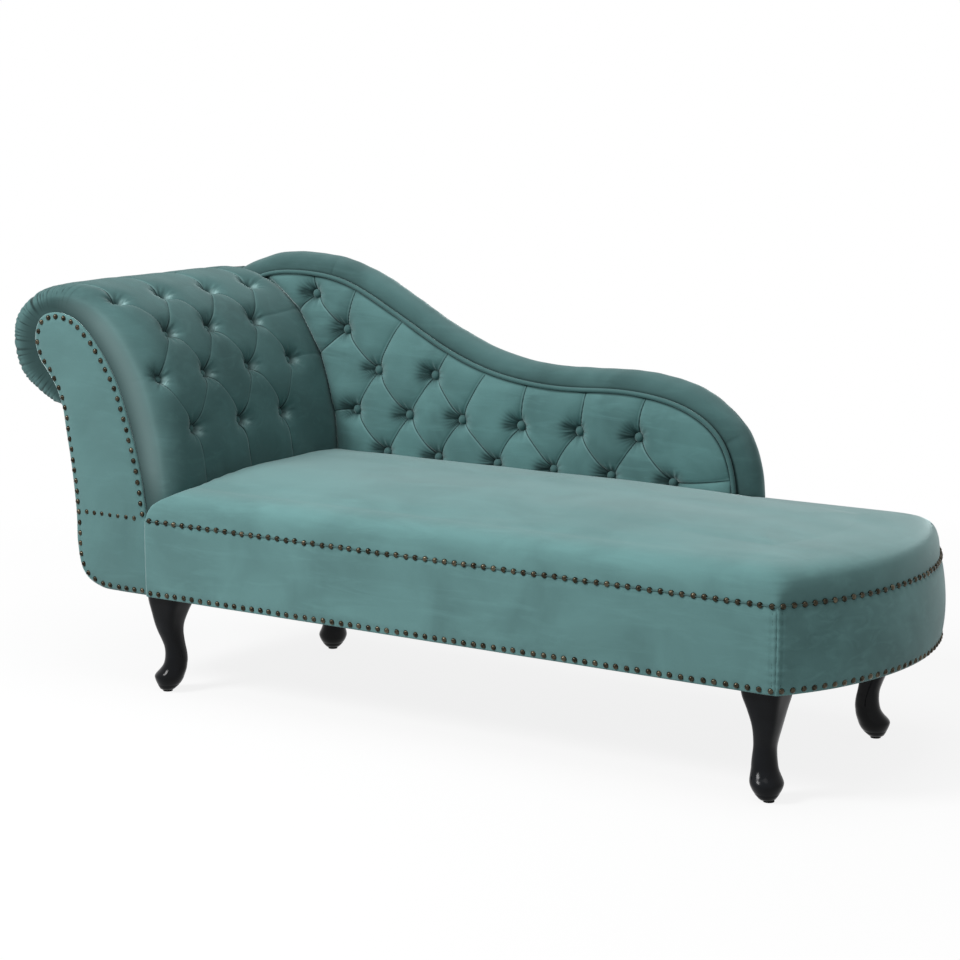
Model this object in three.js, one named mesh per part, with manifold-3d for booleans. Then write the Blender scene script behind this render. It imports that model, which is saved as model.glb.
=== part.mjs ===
// Fainting couch: a chaise with one scroll arm, a swooping buttoned back and a bowed foot end.
// Millimetres, +Z up. The origin is on the floor under the middle of the couch,
// +X runs towards the foot end and the open front faces -Y.
import * as THREE from 'three';
import { mergeVertices } from 'three/addons/utils/BufferGeometryUtils.js';
import Module from 'manifold-3d';

const wasm = await Module();
wasm.setup();

// Overall sizes.
const couchDepth = 600;
const seatLength = 1282; // from the arm joint to the foot corners
const footBowDepth = 90; // how far the foot end bows out past its corners
const armReach = 346; // from the arm joint to the outermost point of the roll
const armRise = 423; // from the seat line to the top of the roll
const backLength = 978; // from the arm joint to the end of the back
const backRise = 414; // from the seat line to the highest point of the welt
const baseHeight = 141; // from the underside of the frame to the seat line
const legHeight = 180;
const glideHeight = 3;

// Fits.
const clearance = 0.3; // between pieces that touch
const mergeDistance = 0.001;
const overrun = 20; // how far a cutting shape runs past what it cuts

// Upholstery panels and their nails.
const bandThickness = 9.7;
const facingThickness = 5;
const facingSetBack = 10; // the arm facing lies this far behind the front band
const nailInset = 8; // from a panel's edge to its nail line
const nailPitch = 19.6;
const nailRadius = 4.75;
const nailRise = 2;
const stripWidth = 3;
const stripThickness = 0.7;

// Frame timber and sheet.
const railThickness = 25;
const crossRailHeight = 58;
const headRailHeight = 110;
const headRailSetIn = 15; // from the nail line at the head end to the head rail
const footRailThickness = 20;
const springRailSetBack = 115; // from the back plane to the spring rail
const scrollBoardThickness = 18;
const scrollBoardMargin = 3.5; // scroll board past the nail line
const linerThickness = 2;
const dustCoverThickness = 1.5;

// Legs, glides and what fastens them.
const legInsetFront = 53; // front leg axes behind the front plane
const legInsetBack = 128; // rear leg axes ahead of the back plane
const frontLegInsetHead = 22; // front leg axis from the arm joint
const frontLegInsetFoot = 41; // front leg axis from the foot corner
const rearLegInsetHead = 73;
const rearLegInsetFoot = 61;
const legTopWidth = 64;
const glideRadius = 9;
const glideSegments = 12;
const cornerBlockWidth = 44;
const plateWidth = 44;
const plateThickness = 3;
const boltRadius = 4;
const boltLength = 60;
const boltInLeg = 30;
const boltSegments = 8;

// Seat.
const cushionSetIn = 1.5; // the cushion's edge behind the band's face
const cushionSide = 19; // upright part of the cushion's side
const cushionEdge = 55; // how far in the edge goes on rounding
const cushionEdgeRise = 41;
const cushionCrown = 25; // further rise to the middle
const cushionWall = 19.5; // between the cushion's face and the foam core
const foamTop = 38; // above the seat line
const deckThickness = 1;
const springCount = 5;
const springWireRadius = 2;
const springLoops = 9;
const springWidth = 44;
const springEndGap = 14; // from a spring's end to the far edge of its rail
const firstSpringInset = 125; // first spring from the arm joint
const lastSpringInset = 217; // last spring from the foot corner

// Arm pad.
const armEdgeDepth = 45; // how far back the pad's front edge goes on rounding
const armEdgePower = 2.7; // 2 rounds the edge as an ellipse, more squares it
const tuckThickness = 12; // pad at its end under the roll
const armRailWidth = 36;
const rowPlaces = 3; // lines of a pad's face from one button row to the next
const buttonPlaces = 6; // and from one button of a row to the next

// Button lattices: spacing along a row and from row to row.
const buttonSpacing = 126;
const armRowSpacing = 97;
const armFirstRow = 166; // along the pad's face from the seat line
const armRowCount = 4;
const armButtonStart = 30; // first button of the second row behind the pad's front end
const backRowSpacing = 78;
const backFirstRow = 79; // above the seat line
const backButtonStart = 178; // a button of the lowest row from the arm joint
const backRowLean = 9.5; // each row lies this much further towards the arm than a true lattice
const pleatDepth = 5;
const buttonDepth = 13;
const buttonDip = 24; // reach of a button's dip

// Back.
const backPadDepth = 107.7; // from the back plane to the pad's proudest point
const backPadEdgeSink = 17; // the pad's edge lies this far behind its proudest point
const backPadEdgeReach = 45;
const backBoardThickness = 12;
const backBoardSetIn = 57.7; // rear face of the back board from the back plane
const backPostWidth = 40;
const rearFrameHeight = 60;
const borderRise = 38;
const borderWidth = 94;
const borderRidgeInset = 32; // the border is highest this far behind its front edge
const borderSkirt = 25; // how far the border reaches down behind the rear frame
const weltRadius = 5;
const outerPanelThickness = 5.5;

// Places worked out from the sizes above.
const nailProud = nailRise + stripThickness + clearance;
const overallLength = armReach + seatLength + footBowDepth + nailProud;
const jointX = armReach - overallLength / 2;
const cornerX = jointX + seatLength;
const frontY = nailProud - couchDepth / 2;
const backY = -frontY;
const baseBottom = glideHeight + legHeight;
const seatZ = baseBottom + baseHeight;
const lowNailZ = baseBottom + nailInset;
const plateBottom = baseBottom + dustCoverThickness + 2 * clearance;
const frameBottom = plateBottom + plateThickness + clearance;
const frameTop = seatZ - clearance;
const crossRailBottom = frameTop - crossRailHeight;
const bowRadius = (frontY * frontY + footBowDepth * footBowDepth) / (2 * footBowDepth);
const bowCentreX = cornerX + footBowDepth - bowRadius;
const railFrontY = frontY + bandThickness + clearance;
const railInnerY = railFrontY + railThickness;
const facingFrontY = frontY + facingSetBack;
const boardFrontY = facingFrontY + facingThickness + clearance;
const boardInnerFrontY = boardFrontY + scrollBoardThickness;
const boardBackY = backY - facingThickness - clearance;
const boardInnerBackY = boardBackY - scrollBoardThickness;
const backPadFaceY = backY + nailProud - backPadDepth;
const backBoardRearY = backY + nailProud - backBoardSetIn;
const backBoardFrontY = backBoardRearY - backBoardThickness;
const rearFrameRearY = backY - outerPanelThickness - clearance;
const rearFrameFrontY = rearFrameRearY - backBoardThickness;
const backEndX = jointX + backLength;
const borderFrontY = couchDepth / 2 - borderWidth;
const springRailBackY = backY - springRailSetBack + clearance;
const springRailFrontY = springRailBackY - railThickness;
const springSpread = (seatLength - firstSpringInset - lastSpringInset) / (springCount - 1);

// Finishes.
const velvet = { color: 0x6f9a97, roughness: 0.85, metalness: 0 };
const lacquer = { color: 0x0b0b0c, roughness: 0.2, metalness: 0 };
const brass = { color: 0x6e5a3a, roughness: 0.4, metalness: 0.9 };
const steel = { color: 0x8d9094, roughness: 0.45, metalness: 0.9 };
const pine = { color: 0xc9a77a, roughness: 0.75, metalness: 0 };
const plywood = { color: 0xb99468, roughness: 0.8, metalness: 0 };
const hardboard = { color: 0x7c5b3d, roughness: 0.85, metalness: 0 };
const foam = { color: 0xe6dfb8, roughness: 0.95, metalness: 0 };
const deckCloth = { color: 0x9b9b93, roughness: 0.9, metalness: 0 };
const dustCloth = { color: 0x1b1b1c, roughness: 0.95, metalness: 0 };
const felt = { color: 0x3a3a3a, roughness: 0.95, metalness: 0 };

const couch = new THREE.Group();
const legs = new THREE.Group();
const base = new THREE.Group();
const seat = new THREE.Group();
const arm = new THREE.Group();
const back = new THREE.Group();
const trim = new THREE.Group();
couch.add(legs, base, seat, arm, back, trim);

function addPiece(group, name, geometry, finish) {
  const mesh = new THREE.Mesh(geometry, new THREE.MeshStandardMaterial(finish));
  mesh.name = name;
  group.add(mesh);
  return mesh;
}

// A closed mesh as a solid that can be joined and cut.
function solidOf(geometry) {
  const bare = geometry.clone();
  bare.deleteAttribute('normal');
  bare.deleteAttribute('uv');
  const merged = mergeVertices(bare, mergeDistance);
  const vertProperties = merged.attributes.position.array;
  const triVerts = merged.index.array;
  return new wasm.Manifold(new wasm.Mesh({ numProp: 3, vertProperties, triVerts }));
}

function geometryOf(solid) {
  const mesh = solid.getMesh();
  const geometry = new THREE.BufferGeometry();
  geometry.setAttribute('position', new THREE.BufferAttribute(mesh.vertProperties, 3));
  geometry.setIndex(new THREE.BufferAttribute(mesh.triVerts, 1));
  geometry.computeVertexNormals();
  return geometry;
}

function cut(geometry, ...tools) {
  let solid = solidOf(geometry);
  for (const tool of tools) solid = solid.subtract(solidOf(tool));
  return geometryOf(solid);
}

function keepInside(geometry, limit) {
  return geometryOf(solidOf(geometry).intersect(solidOf(limit)));
}

function joined(geometries) {
  let solid = solidOf(geometries[0]);
  for (const geometry of geometries.slice(1)) solid = solid.add(solidOf(geometry));
  return geometryOf(solid);
}

function boxBetween(x0, x1, y0, y1, z0, z1) {
  const geometry = new THREE.BoxGeometry(x1 - x0, y1 - y0, z1 - z0);
  geometry.translate((x0 + x1) / 2, (y0 + y1) / 2, (z0 + z1) / 2);
  return geometry;
}

// A sheet whose outline is given in plan.
function slab(outline, z0, z1) {
  const options = { depth: z1 - z0, bevelEnabled: false };
  const geometry = new THREE.ExtrudeGeometry(new THREE.Shape(outline), options);
  geometry.translate(0, 0, z0);
  return geometry;
}

// A sheet whose outline is given as seen from the front: x, then height.
function upright(outline, y0, y1) {
  const options = { depth: y1 - y0, bevelEnabled: false };
  const geometry = new THREE.ExtrudeGeometry(new THREE.Shape(outline), options);
  geometry.rotateX(Math.PI / 2);
  geometry.translate(0, y1, 0);
  return geometry;
}

function rod(radius, z0, z1, segments) {
  const geometry = new THREE.CylinderGeometry(radius, radius, z1 - z0, segments);
  geometry.rotateX(Math.PI / 2);
  geometry.translate(0, 0, (z0 + z1) / 2);
  return geometry;
}

// Moves an open line of points to its left by a distance.
function offsetLine(points, distance) {
  return points.map((point, index) => {
    const before = points[Math.max(index - 1, 0)];
    const after = points[Math.min(index + 1, points.length - 1)];
    const along = after.clone().sub(before).normalize();
    return new THREE.Vector2(point.x - along.y * distance, point.y + along.x * distance);
  });
}

// A closed skin over rings with the same number of points, each ring seen from its end
// running anticlockwise about the direction of travel.
function skinOver(rings) {
  const count = rings[0].length;
  const vertices = [];
  for (const ring of rings) {
    for (const point of ring) vertices.push(point.x, point.y, point.z);
  }
  const faces = [];
  for (let ring = 0; ring + 1 < rings.length; ring += 1) {
    for (let side = 0; side < count; side += 1) {
      const next = (side + 1) % count;
      const a = ring * count + side;
      const b = ring * count + next;
      faces.push(a, b, b + count, a, b + count, a + count);
    }
  }
  const last = (rings.length - 1) * count;
  for (let side = 1; side + 1 < count; side += 1) {
    faces.push(0, side + 1, side);
    faces.push(last, last + side, last + side + 1);
  }
  const geometry = new THREE.BufferGeometry();
  geometry.setAttribute('position', new THREE.Float32BufferAttribute(vertices, 3));
  geometry.setIndex(faces);
  geometry.computeVertexNormals();
  return geometry;
}

// Outline of the foot end in plan, drawn in by a distance, from the front corner to the back.
function footArc(inset, segments) {
  const radius = bowRadius - inset;
  const reach = Math.asin((backY - inset) / radius);
  const points = [];
  for (let step = 0; step <= segments; step += 1) {
    const angle = reach * (2 * step / segments - 1);
    points.push(new THREE.Vector2(bowCentreX + radius * Math.cos(angle), radius * Math.sin(angle)));
  }
  return points;
}

// How deep the buttoning draws the cover in, for a place counted in spacings along a row
// and in row spacings across the rows. Pleats join each button to its diagonal neighbours.
function tuftDepth(alongShare, acrossShare, alongSpacing, acrossSpacing) {
  const p = acrossShare / 2 + alongShare;
  const q = acrossShare / 2 - alongShare;
  const puff = Math.sqrt(Math.abs(Math.sin(Math.PI * p) * Math.sin(Math.PI * q)));
  const offP = p - Math.round(p);
  const offQ = q - Math.round(q);
  const along = (offP - offQ) * alongSpacing / 2;
  const across = (offP + offQ) * acrossSpacing;
  const dip = Math.exp(-(along * along + across * across) / (buttonDip * buttonDip));
  return pleatDepth * (1 - puff) + buttonDepth * dip;
}

// Legs. The section goes from a square under the frame to a round ankle and foot.
// Each row: height share of the leg, centre share and width share of the top's width
// (the centre moves along the diagonal towards the toe), and how square the section is.
const legRowShares = [
  [0, 0.25, 0.36, 0],
  [0.03, 0.23, 0.5, 0],
  [0.088, 0.2, 0.7, 0],
  [0.155, 0.185, 0.82, 0],
  [0.2, 0.12, 0.79, 0],
  [0.28, 0.02, 0.67, 0.05],
  [0.37, -0.01, 0.57, 0.15],
  [0.47, 0.02, 0.5, 0.3],
  [0.56, 0.08, 0.53, 0.4],
  [0.65, 0.145, 0.6, 0.5],
  [0.75, 0.17, 0.69, 0.65],
  [0.87, 0.13, 0.8, 0.85],
  [0.94, 0.1, 0.87, 1],
  [1, 0.08, 0.91, 1],
];
const legSides = 16;

function legGeometry() {
  const rings = legRowShares.map(([heightShare, centreShare, widthShare, squareness]) => {
    const ring = [];
    for (let side = 0; side < legSides; side += 1) {
      const angle = (side + 1 / 2) * 2 * Math.PI / legSides;
      const cos = Math.cos(angle);
      const sin = Math.sin(angle);
      const toSquare = 1 / Math.max(Math.abs(cos), Math.abs(sin));
      const radius = legTopWidth / 2 * widthShare * (1 + (toSquare - 1) * squareness);
      const shift = centreShare * legTopWidth * Math.SQRT1_2;
      const z = heightShare * legHeight;
      ring.push(new THREE.Vector3(shift + radius * cos, shift + radius * sin, z));
    }
    return ring;
  });
  const boreBottom = legHeight - boltInLeg - 2 * clearance;
  const bore = rod(boltRadius + clearance, boreBottom, legHeight + overrun, boltSegments);
  return cut(skinOver(rings), bore);
}

// Corner name, place of the leg's axis, and the quarter turn that points its toe outwards.
const legPlaces = [
  ['front_head', jointX + frontLegInsetHead, frontY + legInsetFront, 2],
  ['front_foot', cornerX - frontLegInsetFoot, frontY + legInsetFront, 3],
  ['back_head', jointX + rearLegInsetHead, backY - legInsetBack, 1],
  ['back_foot', cornerX - rearLegInsetFoot, backY - legInsetBack, 0],
];

// Each leg screws up through the dust cover and its plate into a corner block, which hangs
// under the cross rails.
function addLegs() {
  const toe = legRowShares[0][1] * legTopWidth * Math.SQRT1_2;
  const boltBottom = baseBottom - clearance - boltInLeg;
  const boltTop = boltBottom + boltLength;
  const bore = rod(boltRadius + clearance, frameBottom - overrun, boltTop + clearance, boltSegments);
  const halfPlate = plateWidth / 2;
  const halfBlock = cornerBlockWidth / 2;
  for (const [corner, x, y, turns] of legPlaces) {
    const leg = addPiece(legs, `leg_${corner}`, legGeometry(), lacquer);
    leg.position.set(x, y, glideHeight);
    leg.rotation.z = turns * Math.PI / 2;
    const toeAt = new THREE.Vector2(toe, toe).rotateAround(new THREE.Vector2(), leg.rotation.z);
    const disc = rod(glideRadius, 0, glideHeight - clearance, glideSegments);
    addPiece(legs, `glide_${corner}`, disc, felt).position.set(x + toeAt.x, y + toeAt.y, 0);
    const bolt = rod(boltRadius, boltBottom, boltTop, boltSegments);
    addPiece(legs, `hanger_bolt_${corner}`, bolt, steel).position.set(x, y, 0);
    const plateTop = plateBottom + plateThickness;
    const plate = boxBetween(-halfPlate, halfPlate, -halfPlate, halfPlate, plateBottom, plateTop);
    addPiece(legs, `leg_plate_${corner}`, cut(plate, bore), steel).position.set(x, y, 0);
    const blockY = Math.max(y, railInnerY + clearance + halfBlock) - y;
    const blockTop = crossRailBottom - clearance;
    const block = boxBetween(-halfBlock, halfBlock,
      blockY - halfBlock, blockY + halfBlock, frameBottom, blockTop);
    addPiece(legs, `corner_block_${corner}`, cut(block, bore), pine).position.set(x, y, 0);
  }
}

// Base frame, its upholstered bands and the dust cover.
const footArcSegments = 32;

// A curved piece that follows the foot end between two depths behind its face.
function footPiece(outerInset, innerInset, z0, z1) {
  const outer = footArc(outerInset, footArcSegments);
  const inner = footArc(innerInset, footArcSegments).reverse();
  const limit = boxBetween(cornerX + clearance / 2, cornerX + footBowDepth + overrun,
    -couchDepth, couchDepth, z0 - overrun, z1 + overrun);
  return keepInside(slab([...outer, ...inner], z0, z1), limit);
}

function addBase() {
  const railEndX = cornerX - clearance / 2;
  const sides = [['front', 1], ['back', -1]];
  for (const [side, sign] of sides) {
    const rail = boxBetween(jointX, railEndX, railFrontY, railInnerY, frameBottom, frameTop);
    const band = boxBetween(jointX, railEndX, frontY, frontY + bandThickness, baseBottom, frameTop);
    if (sign < 0) {
      rail.rotateZ(Math.PI).translate(jointX + railEndX, 0, 0);
      band.rotateZ(Math.PI).translate(jointX + railEndX, 0, 0);
    }
    addPiece(base, `${side}_rail`, rail, pine);
    addPiece(base, `band_${side}`, band, velvet);
  }
  addPiece(base, 'band_foot', footPiece(0, bandThickness, baseBottom, frameTop), velvet);
  const footRailInset = bandThickness + clearance;
  const footRail = footPiece(footRailInset, footRailInset + footRailThickness, frameBottom, frameTop);
  addPiece(base, 'foot_rail', footRail, plywood);

  const betweenBoards = [boardInnerFrontY + clearance, boardInnerBackY - clearance];
  const betweenRails = [railInnerY + clearance, -railInnerY - clearance];
  const headX = armPoint(armCornerShares[0][0], 0).x + headRailSetIn;
  const headRail = boxBetween(headX, headX + railThickness,
    ...betweenBoards, frameTop - headRailHeight, frameTop);
  addPiece(base, 'head_rail', headRail, pine);
  const jointRailX = jointX - clearance - railThickness;
  const jointRail = boxBetween(jointRailX, jointX - clearance, ...betweenBoards, crossRailBottom, frameTop);
  addPiece(base, 'joint_rail', jointRail, pine);
  const footCrossX = cornerX - frontLegInsetFoot - railThickness / 2;
  const footCross = boxBetween(footCrossX, footCrossX + railThickness,
    ...betweenRails, crossRailBottom, frameTop);
  addPiece(base, 'foot_cross_rail', footCross, pine);
  const springRail = boxBetween(jointX, footCrossX - clearance,
    springRailFrontY, springRailBackY, crossRailBottom, frameTop);
  addPiece(base, 'spring_rail', springRail, pine);

  const coverX = armPoint(armCornerShares[armCornerShares.length - 1][0], 0).x + clearance;
  const edge = footArc(backY + boardFrontY, footArcSegments);
  const outline = [new THREE.Vector2(coverX, boardFrontY), ...edge, new THREE.Vector2(coverX, -boardFrontY)];
  const holes = legPlaces.map(([, x, y]) =>
    rod(boltRadius + clearance, baseBottom - overrun, frameBottom, boltSegments).translate(x, y, 0));
  const coverBottom = baseBottom + clearance;
  const cover = slab(outline, coverBottom, coverBottom + dustCoverThickness);
  addPiece(base, 'dust_cover', cut(cover, ...holes), dustCloth);
}

// Seat: springs from the front rail to the spring rail, deck cloth, foam core and cushion.
const springStepsPerLoop = 4;
const springSides = 4;
const cushionArcSteps = 5;
const cushionTopInset = 240; // the crown is flat from here inwards
const crownShares = [0.3, 0.65, 1];

function springGeometry(x) {
  const z = seatZ + springWireRadius;
  const start = railFrontY + springEndGap;
  const length = springRailBackY - springEndGap - start;
  const points = [];
  const steps = springLoops * springStepsPerLoop;
  for (let step = 0; step <= steps; step += 1) {
    const swing = springWidth / 2 * Math.sin(2 * Math.PI * step / springStepsPerLoop);
    points.push(new THREE.Vector3(x + swing, start + length * step / steps, z));
  }
  const wire = [];
  for (let side = 0; side < springSides; side += 1) {
    const angle = 2 * Math.PI * side / springSides;
    wire.push(new THREE.Vector2(springWireRadius * Math.cos(angle), springWireRadius * Math.sin(angle)));
  }
  const path = new THREE.CatmullRomCurve3(points);
  return new THREE.ExtrudeGeometry(new THREE.Shape(wire), { steps, bevelEnabled: false, extrudePath: path });
}

// The room inside the cushion, grown by a margin.
function coreOutline(grow) {
  const inset = cushionSetIn + cushionWall - grow;
  const reach = backY - inset;
  const left = jointX + armStationShares[0][0] * armReach + cushionWall - grow;
  const behindX = backEndX + cushionWall - grow;
  const behindY = backPadFaceY - clearance - cushionWall + grow;
  return [
    new THREE.Vector2(left, -reach),
    ...footArc(inset, footArcSegments / 2),
    new THREE.Vector2(behindX, reach),
    new THREE.Vector2(behindX, behindY),
    new THREE.Vector2(left, behindY),
  ];
}

function cushionGeometry() {
  const left = jointX + clearance;
  const rows = [[0, 0], [0, cushionSide]];
  for (let step = 1; step <= cushionArcSteps; step += 1) {
    const angle = Math.PI / 2 * step / cushionArcSteps;
    rows.push([cushionEdge * (1 - Math.cos(angle)), cushionSide + cushionEdgeRise * Math.sin(angle)]);
  }
  for (const share of crownShares) {
    const rise = cushionCrown * share * (2 - share);
    rows.push([cushionEdge + share * (cushionTopInset - cushionEdge), cushionSide + cushionEdgeRise + rise]);
  }
  const rings = rows.map(([inset, rise]) => {
    const edge = footArc(cushionSetIn + inset, footArcSegments / 2);
    const reach = backY - cushionSetIn - inset;
    const outline = [new THREE.Vector2(left, -reach), ...edge, new THREE.Vector2(left, reach)];
    return outline.map((point) => new THREE.Vector3(point.x, point.y, seatZ + rise));
  });
  const backEnd = Math.max(...weltLine(borderRise).map((point) => point.x));
  const backZone = boxBetween(left - overrun, backEnd + clearance,
    backPadFaceY - clearance, couchDepth, seatZ - overrun, seatZ + armRise);
  const core = slab(coreOutline(clearance), seatZ - overrun, seatZ + foamTop + clearance);
  return cut(skinOver(rings), armPadGeometry(clearance, false), backZone, core);
}

function addSeat() {
  for (let index = 0; index < springCount; index += 1) {
    const x = jointX + firstSpringInset + index * springSpread;
    addPiece(seat, `seat_spring_${index + 1}`, springGeometry(x), steel);
  }
  const deckBottom = seatZ + 2 * springWireRadius + clearance;
  const deckTop = deckBottom + deckThickness;
  addPiece(seat, 'deck_cloth', slab(coreOutline(0), deckBottom, deckTop), deckCloth);
  addPiece(seat, 'seat_foam', slab(coreOutline(0), deckTop + clearance, seatZ + foamTop), foam);
  addPiece(seat, 'seat_cushion', cushionGeometry(), velvet);
}

// Arm. Stations from the seat round the roll to its tuck: the pad's full outline and the
// nail line on the facing, each as shares of the arm's reach and rise.
const armStationShares = [
  [0.187, 0, -0.04, 0],
  [0.181, 0.203, -0.08, 0.203],
  [0.152, 0.376, -0.137, 0.376],
  [0.068, 0.605, -0.236, 0.584],
  [-0.108, 0.827, -0.373, 0.738],
  [-0.322, 0.957, -0.484, 0.818],
  [-0.565, 1, -0.6, 0.846],
  [-0.796, 0.96, -0.701, 0.832],
  [-0.955, 0.853, -0.747, 0.785],
  [-1, 0.728, -0.756, 0.728],
  [-0.941, 0.6, -0.727, 0.664],
  [-0.819, 0.518, -0.678, 0.617],
  [-0.71, 0.478, -0.617, 0.546],
  [-0.574, 0.463, -0.574, 0.463],
];
const armOutsideShares = [
  [-0.54, 0.371],
  [-0.5, 0.177],
  [-0.478, -0.017],
];
// The rounded lower corner: shares of the reach and of the height between the nail rows.
const armCornerShares = [
  [-0.478, 0.534],
  [-0.444, 0.173],
  [-0.345, 0.023],
  [-0.218, 0],
];
const armOutsideSteps = 4;
// Bars between the scroll boards: shares of the reach and rise.
const armRailShares = [
  ['crest', -0.607, 0.723],
  ['waist', -0.33, 0.33],
];

function armPoint(reachShare, riseShare) {
  return new THREE.Vector2(jointX + reachShare * armReach, seatZ + riseShare * armRise);
}

// The nail line, anticlockwise from the seat over the roll and down to the bottom of the base.
function nailCurve() {
  const stations = armStationShares.map((row) => armPoint(row[2], row[3]));
  const outside = armOutsideShares.map((row) => armPoint(row[0], row[1]));
  const corner = armCornerShares.map(([reachShare, heightShare]) =>
    new THREE.Vector2(jointX + reachShare * armReach, lowNailZ + heightShare * (seatZ - lowNailZ)));
  const end = new THREE.Vector2(jointX - nailInset, lowNailZ);
  return new THREE.SplineCurve([...stations, ...outside, ...corner, end]);
}

// The pad's full outline, through the same stations as the nail line.
function faceCurve() {
  const full = armStationShares.slice(0, -1).map((row) => armPoint(row[0], row[1]));
  const nails = nailCurve();
  const spans = nails.points.length - 1;
  const at = (armStationShares.length - 1) / spans;
  const along = nails.getTangent(at);
  const tucked = nails.getPoint(at).add(new THREE.Vector2(along.y, -along.x).multiplyScalar(tuckThickness));
  return new THREE.SplineCurve([...full, tucked]);
}

// Curve parameters of the pad's cross-sections: in step with the button rows.
function scrollParameters() {
  const curve = faceCurve();
  const step = armRowSpacing / rowPlaces;
  const total = curve.getLength();
  const parameters = [0];
  for (let at = armFirstRow % step; at < total - step / 2; at += step) {
    if (at > step / 2) parameters.push(curve.getUtoTmapping(0, at));
  }
  return [...parameters, 1];
}

function nailPoints(parameters) {
  const curve = nailCurve();
  const spans = curve.points.length - 1;
  const scrollSpans = armStationShares.length - 1;
  const points = parameters.map((parameter) => curve.getPoint(parameter * scrollSpans / spans));
  for (let step = 1; step <= (spans - scrollSpans) * armOutsideSteps; step += 1) {
    points.push(curve.getPoint((scrollSpans + step / armOutsideSteps) / spans));
  }
  return points;
}

const scrollAt = scrollParameters();
const nailLine = nailPoints(scrollAt);
const scrollCount = scrollAt.length;

// The nail line moved outwards by a margin. Its first end stays at the seat line.
function pastNails(margin) {
  const line = offsetLine(nailLine, -margin);
  line[0].y = seatZ;
  return line;
}

// The outline of a sheet that fills the arm, out past the nail line by a margin.
function armOutline(margin) {
  const line = pastNails(margin);
  line[line.length - 1].x = jointX - clearance;
  line.push(new THREE.Vector2(jointX - clearance, seatZ));
  return line;
}

// Between two margins off the nail line, from one point of it to another, starting after a gap.
function armStrip(innerMargin, outerMargin, first, last, gap) {
  const sides = [innerMargin, outerMargin].map((margin) => {
    const side = pastNails(margin).slice(first, last);
    const length = side[0].distanceTo(side[1]);
    side[0].lerp(side[1], gap / length);
    return side;
  });
  return [...sides[1], ...sides[0].reverse()];
}

function armFace(grow) {
  const curve = faceCurve();
  const face = offsetLine(scrollAt.map((parameter) => curve.getPoint(parameter)), -grow);
  face[0].y = seatZ;
  return face;
}

const armPadInner = scrollBoardMargin + linerThickness + 2 * clearance;

// Places of the pad's cross-lines along Y: close together where the ends round over,
// then in step with the buttons.
const edgeStepShares = [0, 0.06, 0.22, 0.5];
const armLineStep = buttonSpacing / buttonPlaces;

function armLines() {
  const firstButton = boardFrontY + armButtonStart;
  const lines = edgeStepShares.map((share) => boardFrontY + share * armEdgeDepth);
  const rear = edgeStepShares.map((share) => boardBackY - share * armEdgeDepth).reverse();
  for (let y = firstButton; y < rear[0] - armLineStep / 2; y += armLineStep) lines.push(y);
  return [...lines, ...rear];
}

// The arm pad as a closed skin. Plain and grown a little, it also makes room for the pad
// in its neighbours.
function armPadGeometry(grow, tufted) {
  const face = armFace(grow);
  const normals = offsetLine(face, -1).map((point, index) => point.sub(face[index]));
  const edge = pastNails(nailInset + grow);
  const core = pastNails(armPadInner - grow);
  const lines = armLines();
  const rings = [];
  let length = 0;
  for (let station = 0; station < scrollCount; station += 1) {
    if (station > 0) length += face[station].distanceTo(face[station - 1]);
    const across = (length - armFirstRow) / armRowSpacing;
    const fade = THREE.MathUtils.clamp(Math.min(across + 1, armRowCount - across), 0, 1);
    const ring = lines.map((y) => {
      const fromEnd = Math.min(y - boardFrontY, boardBackY - y, armEdgeDepth) / armEdgeDepth;
      const full = (1 - (1 - fromEnd) ** armEdgePower) ** (1 / armEdgePower);
      const along = (y - boardFrontY - armButtonStart) / buttonSpacing + 1 / 2;
      const depth = tufted ? full * fade * tuftDepth(along, across, buttonSpacing, armRowSpacing) : 0;
      const x = edge[station].x + (face[station].x - edge[station].x) * full - normals[station].x * depth;
      const z = edge[station].y + (face[station].y - edge[station].y) * full - normals[station].y * depth;
      return new THREE.Vector3(x, y, z);
    });
    ring.push(new THREE.Vector3(core[station].x, boardBackY, core[station].y));
    ring.push(new THREE.Vector3(core[station].x, boardFrontY, core[station].y));
    rings.push(ring);
  }
  return skinOver(rings);
}

// The room that the back takes out of the rear of the arm pad.
function backZone() {
  const line = weltLine(borderRise + clearance);
  const left = line[0].x - clearance;
  const right = line[line.length - 1].x;
  const bottom = seatZ - overrun;
  const outline = [new THREE.Vector2(left, bottom), new THREE.Vector2(right, bottom), ...line.reverse()];
  outline.push(new THREE.Vector2(left, outline[outline.length - 1].y));
  return upright(outline, borderFrontY - clearance, couchDepth);
}

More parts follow.
